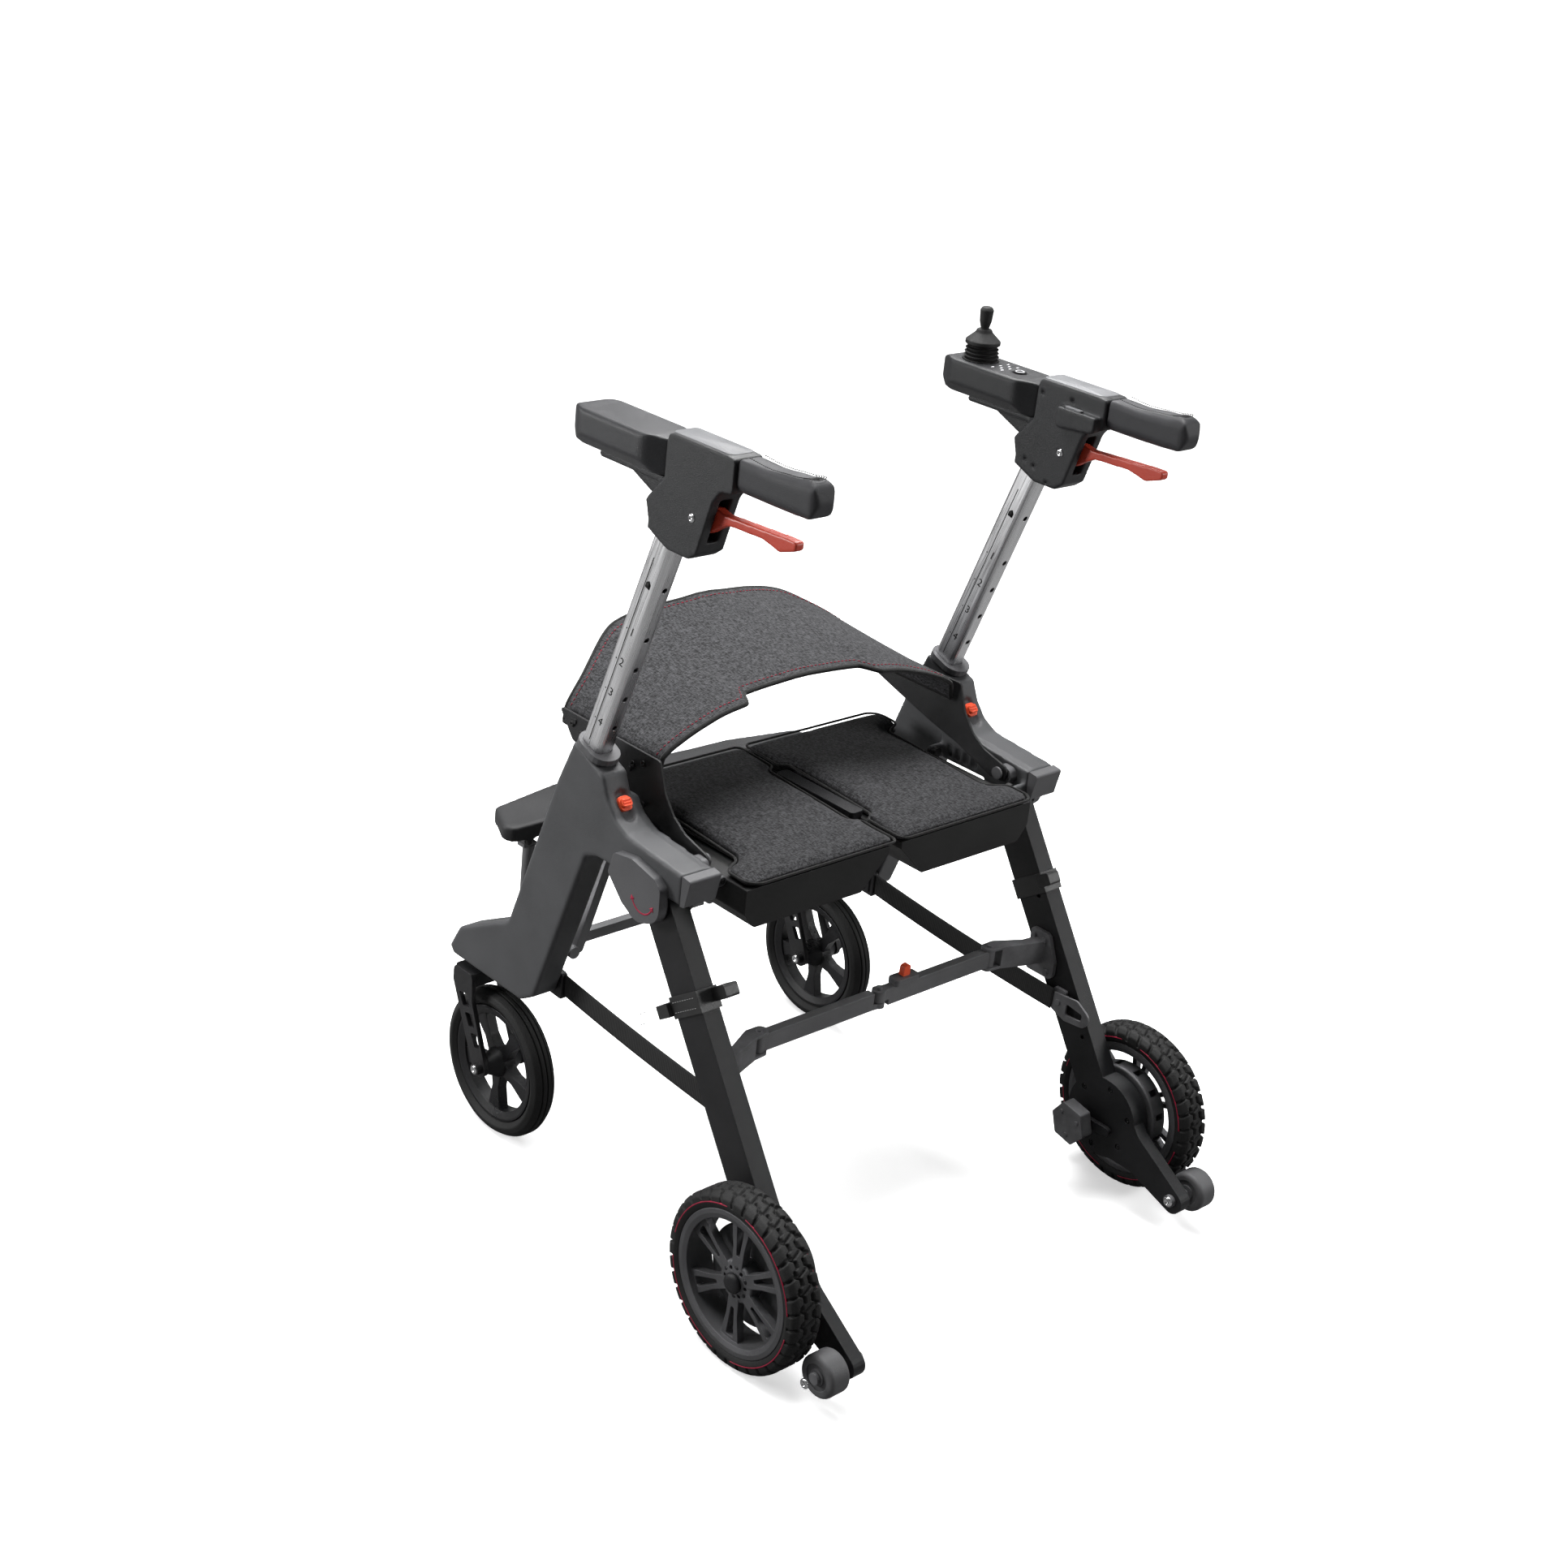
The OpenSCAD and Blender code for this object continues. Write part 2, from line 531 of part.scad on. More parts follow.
module leg_fittings() {
  // bolt of the anti-tip roller
  bar_x(leg_in - 2, leg_in + tip_w + 42, tip_y, tip_z, 4);
  bar_x(leg_in - 5, leg_in - 0.05, tip_y, tip_z, 8);
  bar_x(leg_in + tip_w + 42, leg_in + tip_w + 46, tip_y, tip_z, 7);
  // bracket of the rear brace
  difference() {
    union() {
      ext_x(leg_in - 6, leg_in - 0.05) flat([
        [88, rear_z - 22, 4], [133, rear_z - 22, 8], [133, rear_z + 2, 8], [118, rear_z + 38, 8],
        [88, rear_z + 38, 5]
      ]);
      ext_z(rear_z - 4, rear_z + rear_h + 4) flat([
        [rear_pin_x - 11, rear_y - 9, 8], [rear_pin_x - 11, rear_y + 9, 8], [rear_pin_x + 12, rear_y + 11, 10],
        [leg_in - 30, 108, 14], [leg_in - 5, 114, 0], [leg_in - 5, 96, 0], [leg_in - 28, 94, 14],
        [rear_pin_x + 14, rear_y - 9, 10]
      ]);
    }
    // fork slot for the link
    box(rear_pin_x - 14, rear_y - 20, rear_z - body_gap, rear_pin_x + 13, rear_y + 20, rear_z + rear_h + body_gap);
  }
  bar_z(rear_pin_x, rear_y, rear_z - 6, rear_z + rear_h + 6, 4);
  for (p = [[94, 28], [112, 28], [122, -14]]) bar_x(leg_in - 9, leg_in - 5.9, p[0], rear_z + p[1], 4);
  // freewheel box with its cover plate
  ext_x(leg_in - 30, leg_in - 12) flat(hex_pts(0));
  ext_x(leg_in - 32, leg_in - 30.05) flat(hex_pts(1));
  for (p = [[-12, 13], [14, 8], [0, -16]]) bar_x(leg_in - 34, leg_in - 31.9, free_y + p[0], free_z + p[1], 3);
  bar_x(leg_in - 12.1, leg_in - 0.05, free_y, free_z, 9);
  // clamp round the leg
  leg_band(112, 138, 2.5);
}
free_y = axle_y - 27;
free_z = drive_r - 14;
function hex_pts(g) = [
  [free_y - 26 - g, free_z + 6, 3], [free_y - 18, free_z - 20 - g, 3], [free_y + 10, free_z - 26 - g, 3],
  [free_y + 26 + g, free_z - 8, 3], [free_y + 18, free_z + 20 + g, 3], [free_y - 12, free_z + 26 + g, 3]
];
module leg_band(s0, s1, t) {
  difference() {
    ext_x(leg_in - t, leg_out + t) polygon([
      on_leg(s0, -leg_d / 2 - t), on_leg(s0, leg_d / 2 + t), on_leg(s1, leg_d / 2 + t), on_leg(s1, -leg_d / 2 - t)
    ]);
    ext_x(leg_in - 0.05, leg_out + 0.05) polygon([
      on_leg(s0 - 2, -leg_d / 2 - 0.05), on_leg(s0 - 2, leg_d / 2 + 0.05),
      on_leg(s1 + 2, leg_d / 2 + 0.05), on_leg(s1 + 2, -leg_d / 2 - 0.05)
    ]);
  }
}
module clip_tab() {
  // folded clip on the back of the clamp
  ext_x(leg_in - 14, leg_in + 6) flat([
    join(on_leg(114, leg_d / 2 + 3), 1), join(on_leg(114, leg_d / 2 + 26), 3),
    join(on_leg(130, leg_d / 2 + 26), 3), join(on_leg(130, leg_d / 2 + 3), 1)
  ]);
}
module hand_loop() {
  // leather loop round the front of the leg, open along the leg
  wall = 2.5;
  difference() {
    ext_x(leg_in - 6, leg_out + 8) flat([
      join(on_leg(118, -leg_d / 2 - 3), 0), join(on_leg(118, -leg_d / 2 - 24), 1),
      join(on_leg(134, -leg_d / 2 - 24), 1), join(on_leg(134, -leg_d / 2 - 3), 0)
    ]);
    ext_x(leg_in - 6 + wall, leg_out + 8 - wall) flat([
      join(on_leg(110, -leg_d / 2 - 3 - wall), 0), join(on_leg(110, -leg_d / 2 - 24 + wall), 0),
      join(on_leg(142, -leg_d / 2 - 24 + wall), 0), join(on_leg(142, -leg_d / 2 - 3 - wall), 0)
    ]);
  }
}
module snap_hook() {
  difference() {
    ext_x(leg_in - 8.2, leg_in - 5.2) flat([
      [axle_y - 102, drive_r + 114, 3], [axle_y - 78, drive_r + 106, 6], [axle_y - 44, drive_r + 110, 10],
      [axle_y - 38, drive_r + 128, 10], [axle_y - 62, drive_r + 142, 8], [axle_y - 102, drive_r + 138, 3]
    ]);
    ext_x(leg_in - 9, leg_in - 4) flat([
      [axle_y - 78, drive_r + 115, 3], [axle_y - 52, drive_r + 117, 4], [axle_y - 50, drive_r + 127, 3],
      [axle_y - 78, drive_r + 131, 3]
    ]);
  }
  bar_x(leg_in - 10, leg_in - 0.05, axle_y - 92, drive_r + 127, 4);
}
module freewheel_lever() {
  difference() {
    union() {
      bar_x(leg_in - 10, leg_in - 4, free_y, free_z, 14);
      ext_x(leg_in - 10, leg_in - 4) flat([
        [free_y, free_z - 7, 0], [free_y + 48, free_z - 2, 3], [free_y + 52, free_z + 6, 4],
        [free_y + 44, free_z + 9, 3], [free_y, free_z + 9, 0]
      ]);
    }
    bar_x(leg_in - 11, leg_in - 3, free_y, free_z, 9 + pin_gap);
  }
}

// ---------- caster ----------
module caster_fork() {
  fx = fork_in + fork_t;
  difference() {
    union() {
      ext_z(crown_z, crown_z + crown_t)
        flat(rect_pts(cast_x - fx, swiv_y - 20, cast_x + fx, swiv_y + 20, 8));
      bar_z(cast_x, swiv_y, crown_z + crown_t - eps, wedge_z - 0.5, 15);
      bar_z(cast_x, swiv_y, crown_z + crown_t - eps, wedge_z + 34, stem_r);
      for (s = [-1, 1]) fork_arm(cast_x + s * (fork_in + fork_t / 2));
    }
    for (s = [-1, 1]) fork_windows(cast_x + s * (fork_in + fork_t / 2));
  }
  bar_x(cast_x - fx - 5, cast_x + fx + 5, -caster_y, caster_r, cax_r);
  for (s = [-1, 1]) bar_x(cast_x + s * (fx + 4) - 4, cast_x + s * (fx + 4) + 4, -caster_y, caster_r, 8);
}
module fork_arm(x) {
  ext_x(x - fork_t / 2, x + fork_t / 2) flat([
    [swiv_y - 20, crown_z + crown_t, 8], [swiv_y - 20, crown_z - 4, 8], [-caster_y - 15, caster_r - 6, 12],
    [-caster_y, caster_r - 16, 12], [-caster_y + 15, caster_r - 4, 12], [swiv_y + 22, crown_z - 20, 10],
    [swiv_y + 20, crown_z + crown_t, 8]
  ]);
}
module fork_windows(x) {
  w0 = [swiv_y + 1, crown_z - 14];
  w1 = [-caster_y - 4, caster_r + 18];
  for (k = [0:2]) {
    a = w0 + (w1 - w0) * (k / 3 + 0.02);
    b = w0 + (w1 - w0) * ((k + 1) / 3 - 0.08);
    ext_x(x - fork_t, x + fork_t) flat([
      [a[0] - 8 + k, a[1], 2], [b[0] - 7 + k, b[1], 2], [b[0] + 7 - k, b[1] + 3, 2], [a[0] + 9 - k, a[1] + 3, 2]
    ]);
  }
}
module caster_rim() {
  h = caster_w / 2;
  wheel(cast_x, -caster_y, caster_r) difference() {
    union() {
      spin([
        [crim_r - 12, -9], [crim_r - 3, -h + 5, 1], [crim_r, -h + 5, 1], [crim_r, -h + 8],
        [crim_r - 5, -5], [crim_r - 5, 5], [crim_r, h - 8], [crim_r, h - 5, 1], [crim_r - 3, h - 5, 1],
        [crim_r - 12, 9]
      ]);
      spin([[cax_r, -fork_in + 1], [10, -fork_in + 1], [20, -8, 4], [20, 8, 4], [10, fork_in - 1], [cax_r, fork_in - 1]]);
      for (a = [0:72:288]) rotate([0, 0, a]) caster_spoke();
    }
    translate([0, 0, -fork_in]) cylinder(r = cax_r + pin_gap, h = 2 * fork_in);
  }
}
module caster_spoke() {
  ext_z(-7, 7) flat([[12, -10, 0], [36, -6, 14], [crim_r - 9, -12, 0], [crim_r - 9, 12, 0], [36, 6, 14], [12, 10, 0]]);
}
module caster_tyre() {
  h = caster_w / 2;
  wheel(cast_x, -caster_y, caster_r) difference() {
    spin([
      [crim_r - 4.9, -4.9], [crim_r + 0.1, -h + 8], [crim_r + 2, -h + 5, 1], [crim_r + 8, -h, 4],
      [caster_r - 6, -h + 3, 5], [caster_r, -6, 8], [caster_r, 6, 8], [caster_r - 6, h - 3, 5],
      [crim_r + 8, h, 4], [crim_r + 2, h - 5, 1], [crim_r + 0.1, h - 8], [crim_r - 4.9, 4.9]
    ]);
    for (x = [-7, 0, 7]) spin([[caster_r - 2.5, x - 0.8], [caster_r + 2, x - 1], [caster_r + 2, x + 1], [caster_r - 2.5, x + 0.8]]);
  }
}

// ---------- seat ----------
module seat_tray(first) {
  // first tray carries the odd knuckles, the second the even ones
  difference() {
    ext_y(tray_f, tray_b) flat([
      [10, seat_z, 0], [10, seat_z - 9, 0], [tray_h, seat_z - tray_h, 4], [wide_x - 16, seat_z - tray_h, 8],
      [wide_x, seat_z - tray_h + 20, 6], [wide_x, seat_z, 2]
    ]);
    ext_y(tray_f + 4, tray_b - 4) flat([
      [22, seat_z - 5, 0], [22, seat_z - 12, 0], [tray_h + 12, seat_z - tray_h - 2, 0],
      [wide_x - 20, seat_z - tray_h - 2, 0], [wide_x - 5, seat_z - tray_h + 20, 0], [wide_x - 5, seat_z - 5, 0]
    ]);
    // hand room round the fold handle
    box(0, -134, seat_z - 14, 15, 21, seat_z + 1);
  }
  for (y = [-98 + body_gap, arm_end - 16 - body_gap]) tray_ear(y);
  for (k = [0:2]) mid_knuckle(-110 + 36 * k + (first ? 0 : 12 + body_gap));
}
module tray_ear(y) {
  box(wide_x - eps, y, seat_z - 12, hinge_x, y + 7.5, seat_z - 1);
  bar_y(hinge_x, y, y + 7.5, hinge_z, knuckle_r);
  bar_y(hinge_x, y < 0 ? y - 8 : y, y < 0 ? y + 7.5 : y + 16, hinge_z, 3);
  box(wide_x - 4, y, seat_z - 12, hinge_x + 2, y + 7.5, seat_z);
}
module mid_knuckle(y) {
  difference() {
    union() {
      bar_y(0, y, y + 12, mid_z, knuckle_r);
      box(0, y, mid_z - knuckle_r, 16, y + 12, mid_z - 0.5);
    }
    bar_y(0, y - 1, y + 13, mid_z, rod_r + pin_gap);
  }
}
module seat_pad() {
  intersection() {
    ext_z(seat_z, seat_z + pad_t + 1) flat([
      [3, pad_f, 10], [wide_x, pad_f, 20], [wide_x, -160, 14], [notch_x, -146, 14], [notch_x, 28, 14],
      [wide_x, 43, 14], [wide_x, pad_b, 18], [3, pad_b, 10], [3, 24, 6], [16, 16, 8], [16, -128, 8], [3, -137, 6]
    ], 6);
    ext_x(0, wide_x + 1) flat([
      [pad_f, seat_z + 0.1, 5], [pad_b, seat_z + 0.1, 4], [pad_b, seat_z + pad_t - 13, 4],
      [-20, seat_z + pad_t - 4, 80], [pad_f, seat_z + pad_t, 9]
    ]);
  }
}
module fold_handle_solid() {
  bar_y(0, -125, 12, mid_z, rod_r);
  for (y = [-126, 5]) box(-6, y, mid_z - 6, 6, y + 8, mid_z + 9);
  ext_z(mid_z + 7.2, mid_z + 15) flat(rect_pts(-10, -126, 10, 13, 5));
}

// ---------- back rest ----------
module back_plate() {
  difference() {
    ext_x(plate_x, plate_x + plate_t) flat([
      [-259, band_z, 3], [-231, seat_z + 71, 6], [-169, seat_z + 52, 60], [-109, seat_z + 35, 60],
      [-62, seat_z + 24, 60], [0, seat_z + 2, 10], [26, seat_z + 3, 9], [27, seat_z + 22, 9],
      [-17, seat_z + 33, 20], [-39, seat_z + 47, 20], [-57, seat_z + 69, 20], [-70, band_z, 5]
    ]);
    bar_x(plate_x - 1, plate_x + plate_t + 1, bp_y, bp_z, 5 + pin_gap);
  }
  for (p = [[-228, 95], [-187, 76], [-163, 90], [-122, 75], [-97, 90], [-93, 41]])
    bar_x(plate_x + plate_t - 0.1, plate_x + plate_t + 1.6, p[0], seat_z + p[1], 3.2);
}
band_x = plate_x - 0.3;
// half of the arch seen from the front: distance out from the centre, then height over the plates
arch = [[0, 1], [0.264, 0.93], [0.46, 0.83], [0.6, 0.73], [0.8, 0.45], [0.93, 0.2], [0.99, 0], [1, -0.26]];
function arch_at(t, i) = t <= (i + 1) / 7 || i == 6 ?
  arch[i] + (arch[i + 1] - arch[i]) * (t * 7 - i) : arch_at(t, i + 1);
function band_front(u) = -259 - 51 * smooth((1 - u) / 0.5) + 11 * smooth((0.5 - u) / 0.4);
function band_back(u) = -79 - 4 * smooth((1 - u) / 0.4) - 24 * smooth((0.46 - u) / 0.08);
function band_pt(i, j, g) =
  let (t = 2 * i / band_n - 1, s = t < 0 ? -1 : 1, a = arch_at(abs(t), 0), v = j / band_m)
  let (top = between(v, 92, 50) * (a[1] < 0 ? 1 : a[1]), low = a[1] < 0 ? 92 * a[1] : 0)
  let (z = a[1] < 0 ? band_z + low : band_z + top)
  let (b0 = arch_at(max(0, abs(t) - 0.02), 0), b1 = arch_at(min(1, abs(t) + 0.02), 0))
  let (n = unit([between(v, 92, 50) * (b0[1] - b1[1]), band_x * (b1[0] - b0[0])]))
  [s * (band_x * a[0] - g * n[0]), between(v, band_front(a[0]), band_back(a[0])), z - g * n[1]];
module band_solid() {
  m = band_m + 1;
  h = (band_n + 1) * m;
  pts = concat(
    [for (i = [0:band_n], j = [0:band_m]) band_pt(i, j, 0)],
    [for (i = [0:band_n], j = [0:band_m]) band_pt(i, j, band_t)]
  );
  polyhedron(pts, concat(
    [for (i = [0:band_n - 1], j = [0:band_m - 1]) [i * m + j, i * m + j + 1, (i + 1) * m + j]],
    [for (i = [0:band_n - 1], j = [0:band_m - 1]) [(i + 1) * m + j, i * m + j + 1, (i + 1) * m + j + 1]],
    [for (i = [0:band_n - 1], j = [0:band_m - 1]) [h + i * m + j, h + (i + 1) * m + j, h + i * m + j + 1]],
    [for (i = [0:band_n - 1], j = [0:band_m - 1])
      [h + (i + 1) * m + j, h + (i + 1) * m + j + 1, h + i * m + j + 1]],
    [for (i = [0:band_n - 1]) [i * m, (i + 1) * m, h + i * m]],
    [for (i = [0:band_n - 1]) [(i + 1) * m, h + (i + 1) * m, h + i * m]],
    [for (i = [0:band_n - 1]) [i * m + band_m, h + i * m + band_m, (i + 1) * m + band_m]],
    [for (i = [0:band_n - 1]) [(i + 1) * m + band_m, h + i * m + band_m, h + (i + 1) * m + band_m]],
    [for (j = [0:band_m - 1]) [j, h + j, j + 1]],
    [for (j = [0:band_m - 1]) [j + 1, h + j, h + j + 1]],
    [for (j = [0:band_m - 1]) [band_n * m + j, band_n * m + j + 1, h + band_n * m + j]],
    [for (j = [0:band_m - 1]) [band_n * m + j + 1, h + band_n * m + j + 1, h + band_n * m + j]]
  ));
}

// ---------- braces ----------
module rear_link(first) {
  z0 = rear_z;
  z1 = rear_z + rear_h;
  difference() {
    union() {
      ext_z(z0, z1) flat([
        [13, rear_y - 6, 0], [rear_pin_x, rear_y - 6, 0], [rear_pin_x, rear_y + 6, 0], [13, rear_y + 6, 0]
      ]);
      bar_z(rear_pin_x, rear_y, z0, z1, 8);
      ext_z(first ? z0 : z0 + 8, first ? z0 + 7 : z1)
        flat([[0, rear_y - 7, 0], [14, rear_y - 6, 0], [14, rear_y + 6, 0], [0, rear_y + 7, 0]]);
      bar_z(0, rear_y, first ? z0 : z0 + 8, first ? z0 + 7 : z1, 9);
    }
    bar_z(rear_pin_x, rear_y, z0 - 1, z1 + 1, first ? 4 + pin_gap : 5.5);
    if (!first) bar_z(0, rear_y, z0, z1 + 1, 4 + pin_gap);
  }
  if (first) bar_z(0, rear_y, z0 + 5, z1 + 4, 4);
}
module link_latch() {
  // catch housing on the second link
  ext_z(rear_z + rear_h + 0.05, rear_z + rear_h + 8) flat(rect_pts(22, rear_y - 9, 62, rear_y + 9, 4));
}
module release_solid() {
  ext_y(rear_y - 4, rear_y + 4) flat([
    [-48, rear_z + rear_h + 8.5, 1], [-36, rear_z + rear_h + 8.5, 1], [-37, rear_z + rear_h + 22, 4],
    [-48, rear_z + rear_h + 24, 4]
  ]);
}
module front_link(first) {
  difference() {
    union() {
      ext_y(front_y0, front_y1) flat([
        [10, front_z - 7, 2], [hinge_x, front_z - 7, 0], [hinge_x, front_z + 7, 0], [10, front_z + 7, 2]
      ]);
      bar_y(hinge_x, front_y0, front_y1, front_z, 9);
      bar_y(0, first ? front_y0 : front_y0 + 6.5, first ? front_y0 + 6 : front_y1, front_z, 9);
      ext_y(first ? front_y0 : front_y0 + 6.5, first ? front_y0 + 6 : front_y1)
        flat([[0, front_z - 7, 0], [12, front_z - 7, 0], [12, front_z + 7, 0], [0, front_z + 7, 0]]);
    }
    bar_y(hinge_x, front_y0 - 1, front_y1 + 1, front_z, first ? 5 + pin_gap : 6);
    if (!first) bar_y(0, front_y0, front_y1 + 1, front_z, 4 + pin_gap);
    // relief where the halves meet
    box(first ? -1 : -1, first ? front_y0 + 6 : front_y0 - 1, front_z - 12, 12, first ? front_y1 + 1 : front_y0 + 6.5, front_z + 12);
  }
  if (first) bar_y(0, front_y0 + 5, front_y1 + 3, front_z, 4);
}
module strut() {
  a = [hinge_x - 8, front_z];
  b = [hinge_x - 78, seat_z - 14];
  // prop under the tray
  ext_y(front_y1 + 11, front_y1 + 23) flat([
    [a[0] - 7, a[1] - 4, 5], [a[0] + 7, a[1] - 4, 5], [b[0] + 7, b[1], 0], [b[0] + 7, b[1] + 8, 2],
    [b[0] - 7, b[1] + 8, 2], [b[0] - 7, b[1], 0]
  ]);
  // bracket on the frame with the brace pin
  ext_x(in_x - 5, in_x - 0.05) flat(rect_pts(front_y0 + 3, front_z - 6, front_y1 + 36, front_z + 34, 6));
  ext_y(front_y1 + 0.6, front_y1 + 9) flat([
    [hinge_x - 9, front_z - 8, 4], [in_x - 1, front_z - 4, 0], [in_x - 1, front_z + 24, 0], [hinge_x - 9, front_z + 9, 6]
  ]);
  bar_y(hinge_x, front_y0 - 6, front_y1 + 27, front_z, 5);
  bar_y(hinge_x, front_y1 + 8, front_y1 + 27, front_z, 8);
  bar_x(in_x - 8, in_x - 4.9, front_y1 + 18, front_z + 24, 5);
}

// ---------- foot rest ----------
module foot_tube() {
  difference() {
    union() {
      bar_z(foot_x, foot_y, foot_z, foot_top - 14, 8);
      bar_x(foot_x - 8, wedge_in - 0.5, foot_y, foot_z, 10);
      bar_x(wedge_in - 1, wedge_in + 11, foot_y, foot_z, 6);
      box(foot_x - 7, foot_y - 7, foot_top - 15, hinge_x + 5, foot_y + 7, foot_top - 10);
      bar_y(hinge_x, foot_y - 7, foot_y + 7, foot_top - 6, 5);
    }
    bar_y(hinge_x, foot_y - 8, foot_y + 8, foot_top - 6, 3 + pin_gap);
  }
}
module foot_board(first) {
  difference() {
    ext_z(foot_top, foot_top + 20) flat([
      [0.5, foot_y - 76, 0], [150, foot_y - 72, 60], [hinge_x + 10, foot_y - 52, 14], [hinge_x + 34, foot_y, 8],
      [hinge_x + 26, foot_y + 13, 5], [0.5, foot_y + 13, 0]
    ]);
    box(hinge_x - 12, foot_y - 8, foot_top - 1, hinge_x + 12, foot_y + 8, foot_top + 3);
  }
  for (y = [foot_y - 15, foot_y + 8]) {
    bar_y(hinge_x, y, y + 7, foot_top - 6, 5);
    box(hinge_x - 5, y, foot_top - 6, hinge_x + 5, y + 7, foot_top + 1);
  }
  bar_y(hinge_x, foot_y - 14, foot_y + 14, foot_top - 6, first ? 3 : 2);
  // centre hinge under the board
  difference() {
    union() {
      bar_y(0, first ? foot_y - 40 : foot_y - 54, first ? foot_y - 26 : foot_y - 40.5, foot_top - 6, 4);
      box(1, first ? foot_y - 40 : foot_y - 54, foot_top - 8, 14, first ? foot_y - 26 : foot_y - 40.5, foot_top + 1);
    }
    if (!first) bar_y(0, foot_y - 55, foot_y - 40, foot_top - 6, 2 + pin_gap);
  }
  if (first) bar_y(0, foot_y - 54, foot_y - 39, foot_top - 6, 2);
  bar_z(hinge_x - 84, foot_y - 20, foot_top + 19.9, foot_top + 25, 8);
}

// ---------- webbing ----------
module strap() {
  x0 = in_x - 7;
  // webbing from the frame to the leg
  ext_x(x0, x0 + 2) flat([
    [-206, wedge_z + 12, 2], [axle_y - 105, drive_r + 112, 2], [axle_y - 105, drive_r + 142, 2], [-206, wedge_z + 42, 2]
  ]);
  // buckle
  ext_x(x0 - 3, in_x - 0.1) flat([
    [-222, wedge_z + 12, 4], [-196, wedge_z + 10, 4], [-196, wedge_z + 46, 4], [-216, wedge_z + 48, 4]
  ]);
}

// ---------- pieces that differ from side to side ----------
module button_head() {
  difference() {
    union() {
      head_shell();
      // ledge of the thumb button on the inner face
      ext_x(side_x - head_w - 12, side_x - head_w + eps) flat([
        [head_y + 42, head_z + 64, 6], [head_y + 103, head_z + 70, 6], [head_y + 103, head_z + 90, 3],
        [head_y + 42, head_z + 90, 3]
      ]);
    }
    head_holes();
    ext_z(head_z + 84, head_z + 92) thumb_shape(0.3);
  }
}
module thumb_shape(g) {
  flat(rect_pts(side_x - head_w - 9 - g, head_y + 52 - g, side_x - head_w - 3 + g, head_y + 78 + g, 3));
}
module thumb_key() {
  ext_z(head_z + 86, head_z + 92) thumb_shape(0);
}
module power_key() {
  bar_z(-side_x, head_y - 50, pad_top - 6, pad_top + 1.2, 8);
}
module fittings_plain() {
  leg_fittings();
  hand_loop();
  clip_tab();
  // anchor of the webbing
  ext_x(leg_in - 4, leg_in - 0.05) flat(rect_pts(axle_y - 104, drive_r + 112, axle_y - 82, drive_r + 142, 3));
}
module fittings_hook() {
  leg_fittings();
  clip_tab();
  snap_hook();
  // slider buckle of the webbing
  ext_x(leg_in - 5, leg_in - 0.05) flat(rect_pts(axle_y - 104, drive_r + 112, axle_y - 84, drive_r + 144, 3));
}
module latched_link() {
  other_side() rear_link(false);
  other_side() link_latch();
}

// ---------- one module for each piece, with its colour ----------
charcoal = [0.27, 0.27, 0.28];
black = [0.11, 0.11, 0.11];
grey = [0.4, 0.4, 0.41];
silver = [0.62, 0.62, 0.64];
orange = [0.9, 0.32, 0.22];
felt = [0.22, 0.22, 0.23];

module left_side_frame() {
  color(charcoal) frame_side();
}
module right_side_frame() {
  color(charcoal) other_side() frame_side();
}
module left_frame_trim() {
  color(grey) frame_trim();
}
module right_frame_trim() {
  color(grey) other_side() frame_trim();
}
module left_slide_latch() {
  color(orange) slide_latch();
}
module right_slide_latch() {
  color(orange) other_side() slide_latch();
}
module left_upright_tube() {
  color(silver) upright_tube();
}
module right_upright_tube() {
  color(silver) other_side() upright_tube();
}
module left_head() {
  color(charcoal) head_shell();
}
module right_head() {
  color(charcoal) other_side() button_head();
}
module left_arm_pad() {
  color(charcoal) arm_pad();
}
module right_joystick_box() {
  color(charcoal) joystick_box();
}
module left_grip() {
  color(black) grip_solid();
}
module right_grip() {
  color(black) other_side() grip_solid();
}
module left_brake_lever() {
  color(orange) brake_lever();
}
module right_brake_lever() {
  color(orange) other_side() brake_lever();
}
module left_rear_leg() {
  color(black) rear_leg();
}
module right_rear_leg() {
  color(black) other_side() rear_leg();
}
module left_drive_rim() {
  color(grey) drive_rim();
}
module right_drive_rim() {
  color(grey) other_side() drive_rim();
}
module left_drive_tyre() {
  color(black) drive_tyre();
}
module right_drive_tyre() {
  color(black) other_side() drive_tyre();
}
module left_roller() {
  color(grey) roller();
}
module right_roller() {
  color(grey) other_side() roller();
}
module left_caster_fork() {
  color(black) caster_fork();
}
module right_caster_fork() {
  color(black) other_side() caster_fork();
}
module left_caster_rim() {
  color(black) caster_rim();
}
module right_caster_rim() {
  color(black) other_side() caster_rim();
}
module left_caster_tyre() {
  color(black) caster_tyre();
}
module right_caster_tyre() {
  color(black) other_side() caster_tyre();
}
module left_back_plate() {
  color(black) back_plate();
}
module right_back_plate() {
  color(black) other_side() back_plate();
}
module left_leg_fittings() {
  color(grey) fittings_plain();
}
module right_leg_fittings() {
  color(grey) other_side() fittings_hook();
}
module left_freewheel_lever() {
  color(black) freewheel_lever();
}
module right_freewheel_lever() {
  color(black) other_side() freewheel_lever();
}
module left_strut() {
  color(grey) strut();
}
module right_strut() {
  color(grey) other_side() strut();
}
module left_strap() {
  color(black) strap();
}
module right_strap() {
  color(black) other_side() strap();
}
module left_seat_tray() {
  color(black) seat_tray(true);
}
module right_seat_tray() {
  color(black) other_side() seat_tray(false);
}
module left_seat_pad() {
  color(felt) seat_pad();
}
module right_seat_pad() {
  color(felt) other_side() seat_pad();
}
module fold_handle() {
  color(black) fold_handle_solid();
}
module back_band() {
  color(felt) band_solid();
}
module left_rear_link() {
  color(grey) rear_link(true);
}
